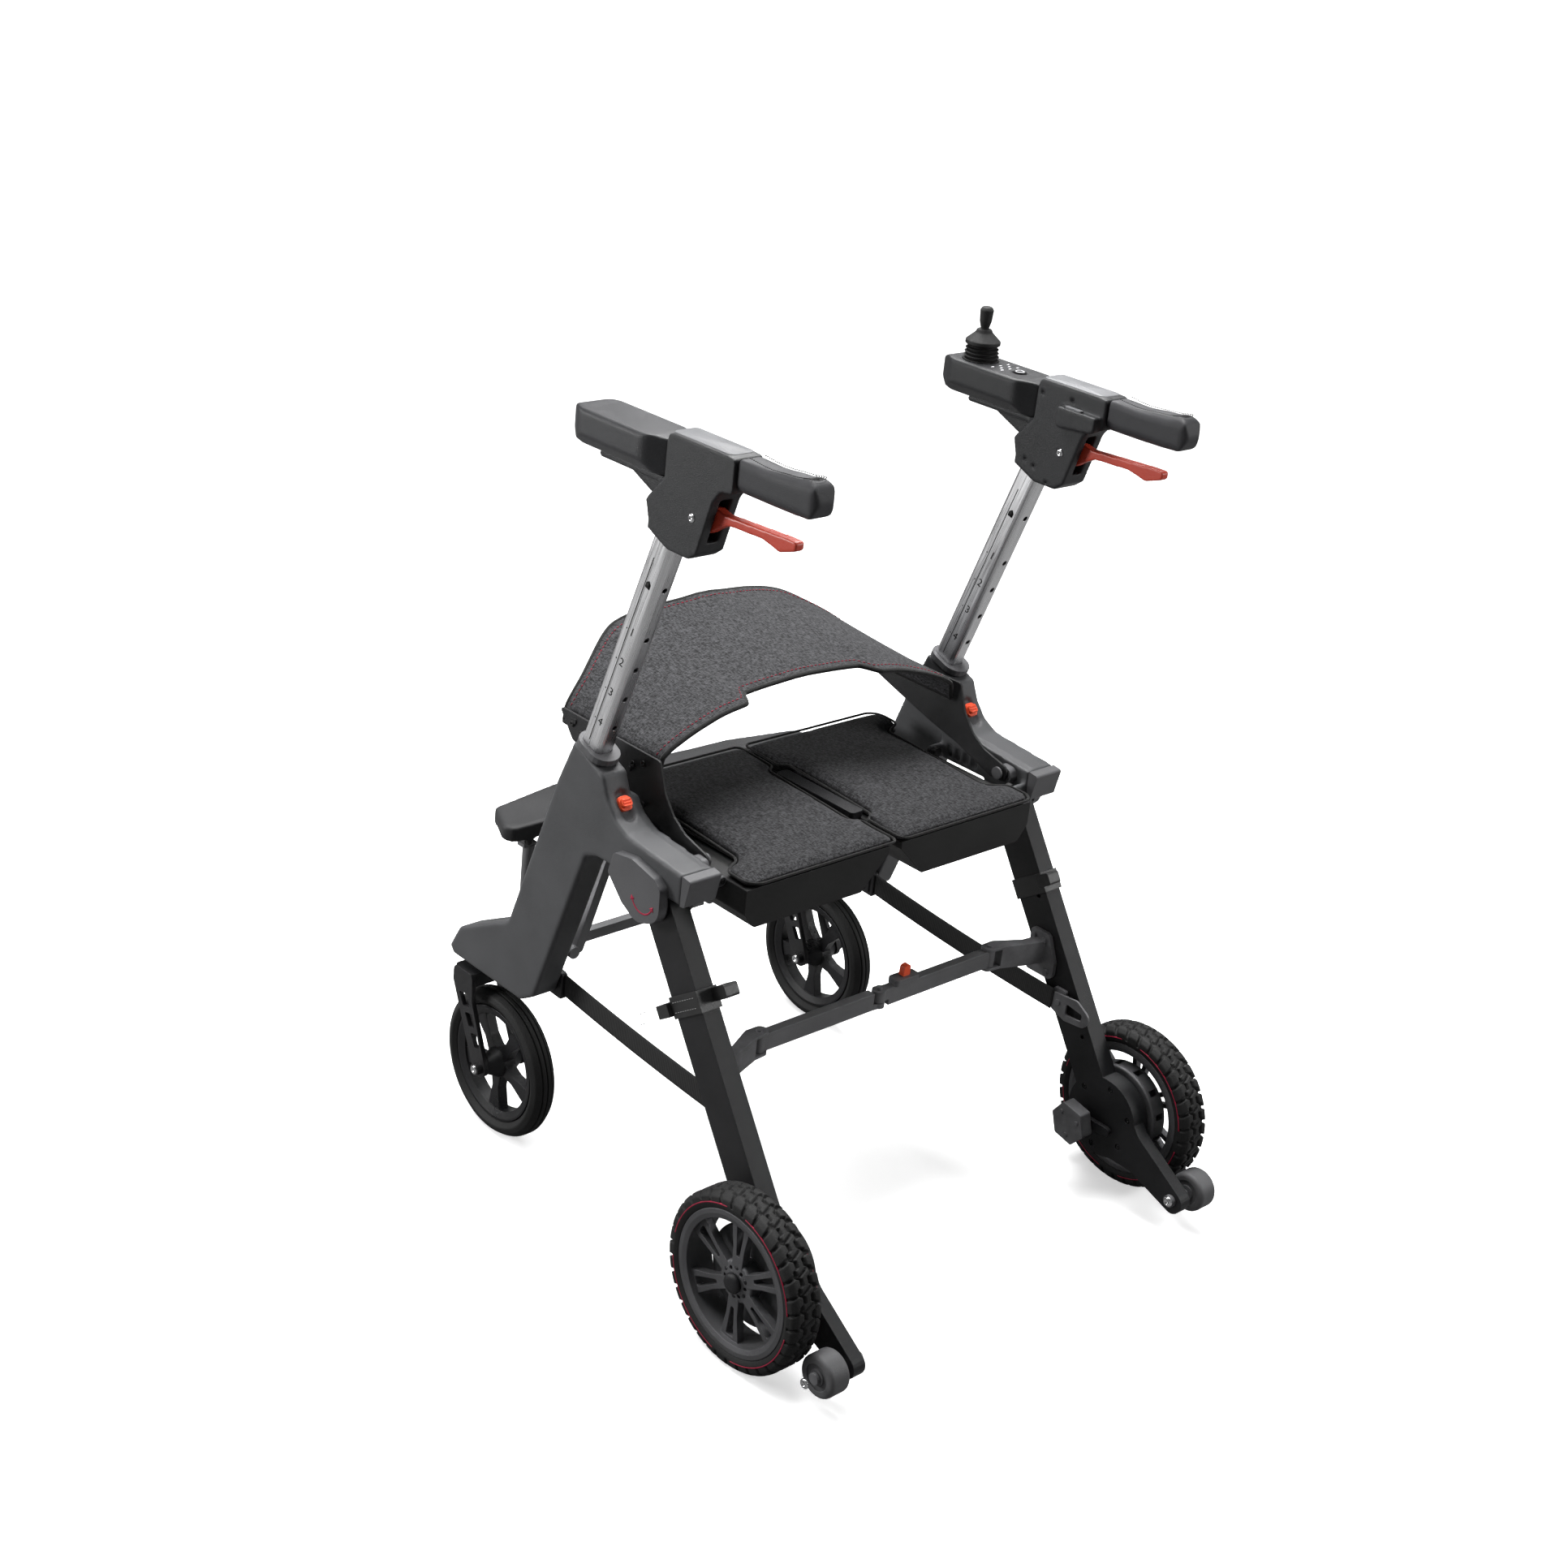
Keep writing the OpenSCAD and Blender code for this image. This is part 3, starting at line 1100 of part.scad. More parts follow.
module right_rear_link() {
  color(grey) latched_link();
}
module release_lever() {
  color(orange) release_solid();
}
module left_front_link() {
  color(grey) front_link(true);
}
module right_front_link() {
  color(grey) other_side() front_link(false);
}
module left_foot_tube() {
  color(grey) foot_tube();
}
module right_foot_tube() {
  color(grey) other_side() foot_tube();
}
module left_foot_board() {
  color(charcoal) foot_board(true);
}
module right_foot_board() {
  color(charcoal) other_side() foot_board(false);
}
module joystick_gimbal() {
  color(silver) gimbal_solid();
}
module joystick() {
  color(black) joystick_stick();
}
module joystick_bellows() {
  color(black) bellows_solid();
}
module power_button() {
  color(black) power_key();
}
module thumb_button() {
  color(black) other_side() thumb_key();
}

left_side_frame();
right_side_frame();
left_frame_trim();
right_frame_trim();
left_slide_latch();
right_slide_latch();
left_upright_tube();
right_upright_tube();
left_head();
right_head();
left_arm_pad();
right_joystick_box();
left_grip();
right_grip();
left_brake_lever();
right_brake_lever();
left_rear_leg();
right_rear_leg();
left_drive_rim();
right_drive_rim();
left_drive_tyre();
right_drive_tyre();
left_roller();
right_roller();
left_caster_fork();
right_caster_fork();
left_caster_rim();
right_caster_rim();
left_caster_tyre();
right_caster_tyre();
left_back_plate();
right_back_plate();
left_leg_fittings();
right_leg_fittings();
left_freewheel_lever();
right_freewheel_lever();
left_strut();
right_strut();
left_strap();
right_strap();
left_seat_tray();
right_seat_tray();
left_seat_pad();
right_seat_pad();
fold_handle();
back_band();
left_rear_link();
right_rear_link();
release_lever();
left_front_link();
right_front_link();
left_foot_tube();
right_foot_tube();
left_foot_board();
right_foot_board();
joystick_gimbal();
joystick();
joystick_bellows();
power_button();
thumb_button();
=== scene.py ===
# %% [markdown]
# A motorised walking frame with a folding seat. The imported CAD model is the fixed frame, and this file
# gives it its looks: mouldings with soft corners, tyres with tread, stuffed pads, a felt backrest band,
# webbing, stitching, screws and markings. It is a lesson in short cells, and most cells print what they made.

# %% Load the frame
import json
import math

import bmesh
import bpy
import numpy as np
from mathutils import Matrix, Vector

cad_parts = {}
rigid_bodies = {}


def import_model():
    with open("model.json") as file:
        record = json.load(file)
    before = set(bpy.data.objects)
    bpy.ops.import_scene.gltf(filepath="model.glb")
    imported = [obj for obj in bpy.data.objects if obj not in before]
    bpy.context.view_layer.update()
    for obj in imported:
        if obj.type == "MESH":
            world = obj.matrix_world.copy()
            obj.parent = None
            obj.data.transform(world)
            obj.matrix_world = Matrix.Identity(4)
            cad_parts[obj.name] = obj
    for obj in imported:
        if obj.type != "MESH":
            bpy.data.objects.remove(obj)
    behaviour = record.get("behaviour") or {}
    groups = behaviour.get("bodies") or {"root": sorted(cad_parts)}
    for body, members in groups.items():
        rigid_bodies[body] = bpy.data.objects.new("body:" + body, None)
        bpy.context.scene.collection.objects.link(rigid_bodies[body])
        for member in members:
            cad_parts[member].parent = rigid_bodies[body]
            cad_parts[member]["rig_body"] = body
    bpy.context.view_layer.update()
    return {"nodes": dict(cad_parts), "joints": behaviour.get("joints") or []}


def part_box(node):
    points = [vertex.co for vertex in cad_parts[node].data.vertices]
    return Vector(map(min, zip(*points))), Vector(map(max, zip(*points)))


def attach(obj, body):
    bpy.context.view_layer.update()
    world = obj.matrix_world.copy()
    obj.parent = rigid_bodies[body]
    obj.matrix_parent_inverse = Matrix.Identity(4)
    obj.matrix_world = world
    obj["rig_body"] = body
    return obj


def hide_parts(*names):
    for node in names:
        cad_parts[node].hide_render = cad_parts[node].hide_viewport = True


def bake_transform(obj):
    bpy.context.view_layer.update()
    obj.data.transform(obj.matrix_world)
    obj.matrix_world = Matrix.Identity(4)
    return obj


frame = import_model()
joints = {j["name"]: j for j in frame["joints"]}

# %% [markdown]
# Everything is placed from the frame itself. A node's box gives its corners, and a joint gives the point
# and the axis it turns about, so a change of size in the CAD moves the looks with it.

# %% Read the places that later cells need
def mid(node):
    """Centre of a CAD node's box."""
    lo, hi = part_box(node)
    return (np.array(lo) + np.array(hi)) / 2


def pivot(joint):
    """A point on a hinge's axis, in metres."""
    return np.array(joints[joint]["pos_m"], float)


side_x = mid("left_upright_tube")[0]
up_axis = np.array(joints["left_height"]["axis"], float)
up_axis /= np.linalg.norm(up_axis)
lean = math.atan2(up_axis[1], up_axis[2])
seat_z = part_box("left_seat_tray")[1][2]
hub = pivot("left_drive")
print("side", round(side_x, 4), "lean", round(math.degrees(lean), 2), "seat", round(seat_z, 4))

# %% [markdown]
# Helpers come first, because almost every piece is the same idea: a grid of points worked out with whole
# arrays, then handed to the mesh at once. `grid` joins the points into quads, and closes the grid round a
# ring, along its length, or with a fan at each end.

# %% Grids, lathed shapes, plates and tubes
def grid(points, ring=True, loop=False, capped=False):
    """Quads over points[u, v]. ring closes v, loop closes u, capped adds a fan of triangles at each end of u."""
    nu, nv = points.shape[:2]
    idx = np.arange(nu * nv).reshape(nu, nv)
    if ring:
        idx = np.concatenate([idx, idx[:, :1]], 1)
    if loop:
        idx = np.concatenate([idx, idx[:1]], 0)
    quads = np.stack([idx[:-1, :-1], idx[1:, :-1], idx[1:, 1:], idx[:-1, 1:]], -1).reshape(-1, 4)
    verts, faces = points.reshape(-1, 3), [tuple(q) for q in quads.tolist()]
    if capped:
        ends = np.stack([points[0].mean(0), points[-1].mean(0)])
        a, b = nu * nv, nu * nv + 1
        first, last = idx[0].tolist(), idx[nu - 1].tolist()
        faces += [(a, first[i], first[i + 1]) for i in range(len(first) - 1)]
        faces += [(b, last[i + 1], last[i]) for i in range(len(last) - 1)]
        verts = np.concatenate([verts, ends])
    return verts, faces


def frame_for(axis):
    """Two unit vectors square to axis, and the axis itself."""
    w = np.array(axis, float) / np.linalg.norm(axis)
    u = np.cross([0.0, 0.0, 1.0] if abs(w[2]) < 0.9 else [0.0, 1.0, 0.0], w)
    u /= np.linalg.norm(u)
    return u, np.cross(w, u), w


def lathe(profile, centre, axis, turns=48):
    """A profile of (radius, height) carried round axis: centre + height * axis + radius * (cos, sin)."""
    u, v, w = frame_for(axis)
    p = np.array(profile, float)
    a = np.linspace(0, 2 * np.pi, turns, endpoint=False)
    round_ = np.cos(a)[None, :, None] * u + np.sin(a)[None, :, None] * v
    pts = np.array(centre, float) + p[:, 1, None, None] * w + p[:, 0, None, None] * round_
    return grid(pts, capped=True)


def rounded(corners, steps=5):
    """A closed outline from (a, b, radius) corners, each corner an arc that touches both sides."""
    out, n = [], len(corners)
    for i, c in enumerate(corners):
        p0, p1, p2 = (np.array(corners[(i + k) % n][:2], float) for k in (-1, 0, 1))
        r = c[2] if len(c) > 2 else 0
        if r <= 0:
            out.append(p1[None])
            continue
        a, b = (p0 - p1) / np.linalg.norm(p0 - p1), (p2 - p1) / np.linalg.norm(p2 - p1)
        half = math.acos(float(np.clip(a @ b, -1, 1))) / 2
        bis = (a + b) / np.linalg.norm(a + b)
        o, d = p1 + bis * r / math.sin(half), r / math.tan(half)
        s, e = p1 + a * d - o, p1 + b * d - o
        t0, t1 = math.atan2(s[1], s[0]), math.atan2(e[1], e[0])
        turn = (t1 - t0 + math.pi) % (2 * math.pi) - math.pi
        t = t0 + turn * np.linspace(0, 1, steps + 1)
        out.append(o + r * np.stack([np.cos(t), np.sin(t)], 1))
    return np.concatenate(out)


def inset(outline, d):
    """The outline moved in by d along the mean of its two sides' normals."""
    area = np.sum(outline[:, 0] * np.roll(outline[:, 1], -1) - outline[:, 1] * np.roll(outline[:, 0], -1))
    t = np.roll(outline, -1, 0) - np.roll(outline, 1, 0)
    t /= np.linalg.norm(t, axis=1, keepdims=True)
    normal = np.stack([-t[:, 1], t[:, 0]], 1) * (1 if area > 0 else -1)
    return outline + normal * d


def plate(outline, low, high, edge, plane="yz"):
    """A flat plate: the outline at low and high, with its rims turned in by edge like a chamfer."""
    levels = [(low, edge), (low + edge, 0), (high - edge, 0), (high, edge)]
    rings = []
    for level, d in levels:
        o = inset(outline, d) if d else outline
        k = np.full(len(o), level)
        a, b = o[:, 0], o[:, 1]
        rings.append(np.stack({"yz": (k, a, b), "xy": (a, b, k), "xz": (a, k, b)}[plane], 1))
    return grid(np.stack(rings), capped=True)


def tube(path, radius, sides=8, closed=False):
    """A round section carried along a path, square to it, with the section's frame turned as little as it can be."""
    p = np.array(path, float)
    t = np.roll(p, -1, 0) - np.roll(p, 1, 0)
    if not closed:
        t[0], t[-1] = p[1] - p[0], p[-1] - p[-2]
    t /= np.linalg.norm(t, axis=1, keepdims=True)
    ref = np.array([0.0, 0.0, 1.0]) if np.abs(t[:, 2]).mean() < 0.8 else np.array([1.0, 0.0, 0.0])
    n = np.cross(t, ref)
    n /= np.linalg.norm(n, axis=1, keepdims=True)
    b = np.cross(t, n)
    a = np.linspace(0, 2 * np.pi, sides, endpoint=False)
    r = np.broadcast_to(np.array(radius, float), len(p))[:, None, None]
    pts = p[:, None] + r * (np.cos(a)[None, :, None] * n[:, None] + np.sin(a)[None, :, None] * b[:, None])
    return grid(pts, loop=closed, capped=not closed)


def together(parts):
    """Several (points, faces) shapes as one."""
    verts, faces, n = [], [], 0
    for v, f in parts:
        verts.append(v)
        faces += [tuple(i + n for i in q) for q in f]
        n += len(v)
    return np.concatenate(verts), faces


def piece(name, shape, finish, body, replaces=(), recalc=True):
    """Makes a mesh object at the origin from (points, faces), with outward faces, a finish and a body to ride on."""
    verts, faces = shape
    mesh = bpy.data.meshes.new(name)
    mesh.from_pydata(verts.tolist(), [], faces)
    if recalc:
        bm = bmesh.new()
        bm.from_mesh(mesh)
        bmesh.ops.recalc_face_normals(bm, faces=bm.faces)
        bm.to_mesh(mesh)
        bm.free()
    mesh.shade_smooth()
    obj = bpy.data.objects.new(name, mesh)
    bpy.context.scene.collection.objects.link(obj)
    mesh.materials.append(finish)
    if body:
        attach(obj, body)
    for node in replaces:
        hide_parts(node)
    print(name, len(verts), "points")
    return obj


def crease(obj, degrees=35):
    """Keeps edges sharper than an angle crisp, so flats read as flats."""
    mesh = obj.data
    bm = bmesh.new()
    bm.from_mesh(mesh)
    limit = math.radians(degrees)
    for e in bm.edges:
        e.smooth = not (len(e.link_faces) == 2 and e.calc_face_angle(0) > limit)
    bm.to_mesh(mesh)
    bm.free()
    return obj


# %% [markdown]
# Finishes. A moulded plastic is never one flat grey: it has a fine spark-eroded grain, faint patches where
# it is handled, and corners that catch the light. A small node builder makes each of these from noise on
# Object coordinates, and a Bevel node rounds the light on sharp CAD edges.

# %% A builder for shader nodes
def nodes_of(name):
    """A new material with its node tree, its Principled shader and a shorthand that adds a node."""
    mat = bpy.data.materials.new(name)
    mat.use_nodes = True
    tree = mat.node_tree
    shader = tree.nodes["Principled BSDF"]

    def add(kind, **values):
        node = tree.nodes.new(kind)
        for key, value in values.items():
            if hasattr(node, key):
                setattr(node, key, value)
            else:
                node.inputs[key.replace("_", " ")].default_value = value
        return node

    return mat, tree.links.new, shader, add


def two_tones(add, link, source, dark, light, low=0.35, high=0.65):
    """A ramp from one colour to another, read from a noise."""
    ramp = add("ShaderNodeValToRGB")
    ramp.color_ramp.elements[0].position, ramp.color_ramp.elements[1].position = low, high
    ramp.color_ramp.elements[0].color = (*dark, 1)
    ramp.color_ramp.elements[1].color = (*light, 1)
    link(source, ramp.inputs["Fac"])
    return ramp.outputs["Color"]


def spread(add, link, source, low, high):
    """Maps a noise to a range of roughness."""
    node = add("ShaderNodeMapRange")
    node.inputs["From Min"].default_value, node.inputs["From Max"].default_value = 0.3, 0.7
    node.inputs["To Min"].default_value, node.inputs["To Max"].default_value = low, high
    link(source, node.inputs["Value"])
    return node.outputs["Result"]


def moulded(name, colour, rough, grain=1400, depth=0.00006, patch=0.16, edge=0.0012, metal=0.0, coat=0.0,
             gloss=0.26):
    """Plastic or paint: colour and roughness drift with a broad noise, the surface has a fine grain."""
    mat, link, shader, add = nodes_of(name)
    place = add("ShaderNodeTexCoord").outputs["Object"]
    broad = add("ShaderNodeTexNoise", Scale=18.0, Detail=4.0)
    fine = add("ShaderNodeTexNoise", Scale=float(grain), Detail=3.0)
    for n in (broad, fine):
        link(place, n.inputs["Vector"])
    c = np.array(colour)
    dark, light = tuple(c * (1 - patch)), tuple(np.minimum(c * (1 + patch), 1))
    link(two_tones(add, link, broad.outputs["Fac"], dark, light), shader.inputs["Base Color"])
    link(spread(add, link, broad.outputs["Fac"], rough - 0.05, rough + 0.07), shader.inputs["Roughness"])
    soft = add("ShaderNodeBevel", samples=4, Radius=edge)
    bump = add("ShaderNodeBump", Strength=0.6, Distance=depth * 10)
    link(fine.outputs["Fac"], bump.inputs["Height"])
    link(soft.outputs["Normal"], bump.inputs["Normal"])
    link(bump.outputs["Normal"], shader.inputs["Normal"])
    shader.inputs["Metallic"].default_value = metal
    shader.inputs["Coat Weight"].default_value = coat
    shader.inputs["Specular IOR Level"].default_value = gloss
    shader.inputs["Coat Roughness"].default_value = 0.25
    return mat


def brushed(name, colour, rough, along):
    """Anodised metal: noise drawn out along the brushing, which tints the colour, roughness and bump."""
    mat, link, shader, add = nodes_of(name)
    turn = add("ShaderNodeMapping")
    turn.inputs["Rotation"].default_value = along
    draw = add("ShaderNodeMapping")
    draw.inputs["Scale"].default_value = (1.0, 1.0, 0.02)
    streak = add("ShaderNodeTexNoise", Scale=900.0, Detail=4.0)
    link(add("ShaderNodeTexCoord").outputs["Object"], turn.inputs["Vector"])
    link(turn.outputs["Vector"], draw.inputs["Vector"])
    link(draw.outputs["Vector"], streak.inputs["Vector"])
    c = np.array(colour)
    link(two_tones(add, link, streak.outputs["Fac"], tuple(c * 0.86), tuple(c * 1.1), 0.3, 0.7),
         shader.inputs["Base Color"])
    link(spread(add, link, streak.outputs["Fac"], rough - 0.06, rough + 0.08), shader.inputs["Roughness"])
    soft = add("ShaderNodeBevel", samples=4, Radius=0.0006)
    bump = add("ShaderNodeBump", Strength=0.25, Distance=0.0002)
    link(streak.outputs["Fac"], bump.inputs["Height"])
    link(soft.outputs["Normal"], bump.inputs["Normal"])
    link(bump.outputs["Normal"], shader.inputs["Normal"])
    shader.inputs["Metallic"].default_value = 1.0
    return mat


def heather(name, dark, light, thread, weave, sheen=0.35):
    """Mixed-yarn cloth: two noises drawn out along the two yarns, light flecks on dark, with a woven bump."""
    mat, link, shader, add = nodes_of(name)
    place = add("ShaderNodeTexCoord").outputs["Object"]
    flecks = []
    for stretch in ((1.0, 0.3, 1.0), (0.35, 1.0, 1.0)):
        draw = add("ShaderNodeMapping")
        draw.inputs["Scale"].default_value = stretch
        n = add("ShaderNodeTexNoise", Scale=thread, Detail=3.0, Roughness=0.65)
        link(place, draw.inputs["Vector"])
        link(draw.outputs["Vector"], n.inputs["Vector"])
        flecks.append(n.outputs["Fac"])
    both = add("ShaderNodeMath", operation="ADD")
    link(flecks[0], both.inputs[0])
    link(flecks[1], both.inputs[1])
    half = add("ShaderNodeMath", operation="MULTIPLY")
    half.inputs[1].default_value = 0.5
    link(both.outputs[0], half.inputs[0])
    link(two_tones(add, link, half.outputs[0], dark, light, 0.4, 0.62), shader.inputs["Base Color"])
    waves = []
    for axis in ("X", "Y"):
        w = add("ShaderNodeTexWave", bands_direction=axis, Scale=weave, Distortion=1.5, Detail=2.0)
        link(place, w.inputs["Vector"])
        waves.append(w.outputs["Fac"])
    cross = add("ShaderNodeMath", operation="MULTIPLY")
    link(waves[0], cross.inputs[0])
    link(waves[1], cross.inputs[1])
    height = add("ShaderNodeMath", operation="ADD")
    link(cross.outputs[0], height.inputs[0])
    link(half.outputs[0], height.inputs[1])
    bump = add("ShaderNodeBump", Strength=0.5, Distance=0.0006)
    link(height.outputs[0], bump.inputs["Height"])
    link(bump.outputs["Normal"], shader.inputs["Normal"])
    shader.inputs["Roughness"].default_value = 0.95
    shader.inputs["Sheen Weight"].default_value = sheen
    shader.inputs["Sheen Roughness"].default_value = 0.5
    shader.inputs["Specular IOR Level"].default_value = 0.15
    return mat


def ribbed(name, colour, rough, pitch, direction, depth=0.0006):
    """Rubber or webbing with fine ribs: a wave's bands give the bump, a noise dulls them."""
    mat, link, shader, add = nodes_of(name)
    place = add("ShaderNodeTexCoord").outputs["Object"]
    wave = add("ShaderNodeTexWave", bands_direction=direction, Scale=math.pi / (10 * pitch), Distortion=0.0)
    dust = add("ShaderNodeTexNoise", Scale=220.0, Detail=5.0)
    for n in (wave, dust):
        link(place, n.inputs["Vector"])
    c = np.array(colour)
    link(two_tones(add, link, dust.outputs["Fac"], tuple(c * 0.7), tuple(c * 1.5)), shader.inputs["Base Color"])
    link(spread(add, link, dust.outputs["Fac"], rough - 0.05, rough + 0.1), shader.inputs["Roughness"])
    bump = add("ShaderNodeBump", Strength=0.7, Distance=depth)
    link(wave.outputs["Fac"], bump.inputs["Height"])
    link(bump.outputs["Normal"], shader.inputs["Normal"])
    return mat


# %% [markdown]
# One finish for each real one: charcoal moulding, the warmer grey of the covers, powder-coated legs,
# gunmetal rims, brushed uprights, tyre rubber, two heather cloths and webbing.

# %% Make the finishes
charcoal = moulded("charcoal_moulding", (0.062, 0.063, 0.066), 0.40, patch=0.08)
cover_grey = moulded("cover_grey", (0.082, 0.082, 0.086), 0.38, patch=0.08)
head_grey = moulded("head_grey", (0.019, 0.0195, 0.021), 0.38, grain=1700, patch=0.12)
arm_dark = moulded("arm_rest_grey", (0.030, 0.0305, 0.033), 0.38, grain=1500, patch=0.10)
board_dark = moulded("foot_board_grey", (0.020, 0.020, 0.021), 0.5, grain=1300, patch=0.15)
cap_grey = moulded("cap_grey", (0.15, 0.152, 0.158), 0.34, grain=2200, patch=0.06)
leg_black = moulded("leg_powder_coat", (0.012, 0.012, 0.013), 0.36, grain=2600, depth=0.00004, patch=0.2)
steel_black = moulded("black_steel", (0.014, 0.014, 0.015), 0.34, grain=2600, patch=0.25)
tray_black = moulded("tray_plastic", (0.012, 0.012, 0.012), 0.5, patch=0.25)
hard_black = moulded("hard_black", (0.011, 0.011, 0.012), 0.3, patch=0.2)
bracket_grey = moulded("bracket_grey", (0.16, 0.16, 0.165), 0.34, grain=2400, patch=0.08, metal=0.35)
gunmetal = moulded("gunmetal_rim", (0.11, 0.11, 0.115), 0.36, grain=3000, patch=0.1, metal=0.6)
lever_red = moulded("lever_red", (0.50, 0.050, 0.025), 0.36, grain=2600, depth=0.00003, patch=0.07, coat=0.3)
latch_orange = moulded("latch_orange", (0.86, 0.10, 0.035), 0.34, patch=0.05, coat=0.2)
roller_grey = moulded("roller_urethane", (0.085, 0.085, 0.088), 0.5, grain=900, patch=0.12)
grip_black = moulded("grip_shell", (0.035, 0.035, 0.038), 0.5, grain=1500, patch=0.12)
soft_rubber = moulded("soft_rubber", (0.014, 0.014, 0.014), 0.62, grain=1200, patch=0.2)
tyre_black = moulded("tyre_rubber", (0.011, 0.011, 0.011), 0.62, grain=800, depth=0.0001, patch=0.35)
crimson = moulded("crimson_ink", (0.30, 0.012, 0.04), 0.5, patch=0.08)
ink_black = moulded("tube_ink", (0.006, 0.006, 0.006), 0.5, patch=0.1)
ink_pale = moulded("pale_ink", (0.62, 0.62, 0.64), 0.5, patch=0.03)
chrome = moulded("screw_chrome", (0.62, 0.62, 0.63), 0.2, grain=3000, depth=0.00001, patch=0.06, metal=1.0)
black_screw = moulded("black_screw", (0.02, 0.02, 0.02), 0.28, patch=0.2, metal=0.6)
anodised = brushed("anodised_upright", (0.74, 0.74, 0.75), 0.30, (lean, 0, 0))
hook_steel = brushed("hook_steel", (0.50, 0.50, 0.51), 0.32, (1.2, 0, 0))
seat_cloth = heather("seat_heather", (0.005, 0.005, 0.0055), (0.050, 0.050, 0.053), 520.0, 260.0, 0.06)
band_cloth = heather("band_heather", (0.007, 0.007, 0.0075), (0.062, 0.062, 0.066), 480.0, 220.0, 0.08)
edge_tape = heather("edge_tape", (0.006, 0.006, 0.006), (0.018, 0.018, 0.018), 900.0, 400.0, 0.15)
webbing = ribbed("webbing", (0.010, 0.010, 0.010), 0.78, 0.0022, "Y")
thread_red = moulded("thread_red", (0.26, 0.012, 0.03), 0.7, patch=0.2)
thread_pale = moulded("thread_pale", (0.42, 0.42, 0.42), 0.7, patch=0.1)
def two_part(name, near, far, normal, limit):
    """One finish on the near side of a plane and another beyond it: where a point's dot product passes limit."""
    mat, link, shader, add = nodes_of(name)
    place = add("ShaderNodeTexCoord").outputs["Object"]
    along = add("ShaderNodeVectorMath", operation="DOT_PRODUCT")
    along.inputs[1].default_value = normal
    link(place, along.inputs[0])
    side = add("ShaderNodeMath", operation="GREATER_THAN")
    side.inputs[1].default_value = limit
    link(along.outputs["Value"], side.inputs[0])
    colours = []
    for colour in (near, far):
        c = np.array(colour)
        n = add("ShaderNodeTexNoise", Scale=40.0, Detail=5.0)
        link(place, n.inputs["Vector"])
        colours.append(two_tones(add, link, n.outputs["Fac"], tuple(c * 0.8), tuple(c * 1.2)))
    pick = add("ShaderNodeMix", data_type="RGBA")
    link(side.outputs[0], pick.inputs["Factor"])
    link(colours[0], pick.inputs["A"])
    link(colours[1], pick.inputs["B"])
    link(pick.outputs["Result"], shader.inputs["Base Color"])
    grain = add("ShaderNodeTexNoise", Scale=700.0, Detail=3.0)
    link(place, grain.inputs["Vector"])
    link(spread(add, link, grain.outputs["Fac"], 0.36, 0.52), shader.inputs["Roughness"])
    soft = add("ShaderNodeBevel", samples=4, Radius=0.001)
    bump = add("ShaderNodeBump", Strength=0.5, Distance=0.0005)
    link(grain.outputs["Fac"], bump.inputs["Height"])
    link(soft.outputs["Normal"], bump.inputs["Normal"])
    link(bump.outputs["Normal"], shader.inputs["Normal"])
    return mat


leg_piv = pivot("left_leg_fold")
leg_angle = math.atan2(hub[1] - leg_piv[1], leg_piv[2] - hub[2])
leg_down = (0.0, math.sin(leg_angle), -math.cos(leg_angle))
fittings = two_part("leg_fittings", (0.012, 0.012, 0.012), (0.115, 0.115, 0.12), leg_down,
                    0.150 + float(np.dot(leg_down, leg_piv)))
print("finishes", len(bpy.data.materials))

# %% [markdown]
# The CAD nodes whose shape is already right keep it, and only take a finish in place of the plain one.

# %% Give each CAD node its finish
node_finish = {
    "frame_trim": cover_grey, "slide_latch": latch_orange, "upright_tube": anodised, "brake_lever": lever_red,
    "rear_leg": leg_black, "drive_rim": gunmetal, "roller": roller_grey, "caster_fork": steel_black,
    "caster_rim": hard_black, "caster_tyre": tyre_black, "back_plate": steel_black,
    "leg_fittings": fittings, "freewheel_lever": hard_black, "strut": bracket_grey,
    "seat_tray": tray_black, "rear_link": bracket_grey, "front_link": bracket_grey,
    "foot_tube": bracket_grey, "foot_board": board_dark, "side_frame": charcoal, "head": head_grey,
    "arm_pad": arm_dark, "joystick_box": head_grey, "grip": grip_black, "drive_tyre": tyre_black,
    "strap": webbing, "seat_pad": seat_cloth,
}
plain_finish = {
    "fold_handle": hard_black, "back_band": band_cloth, "release_lever": latch_orange,
    "joystick_gimbal": hook_steel, "joystick": soft_rubber, "joystick_bellows": soft_rubber,
    "power_button": hard_black, "thumb_button": cap_grey,
}
for name, obj in frame["nodes"].items():
    finish = plain_finish.get(name) or node_finish[name.split("_", 1)[1]]
    obj.data.materials.clear()
    obj.data.materials.append(finish)
print("finished nodes", len(frame["nodes"]))

# %% [markdown]
# Mouldings. The CAD gives the side frames, heads and arm rests sharp edges. The real ones come out of a
# mould with generous radii. Each gets a skin of even small faces (a voxel remesh of a copy), which a few
# smoothing passes then relax, so every corner rounds by itself, inside and out.

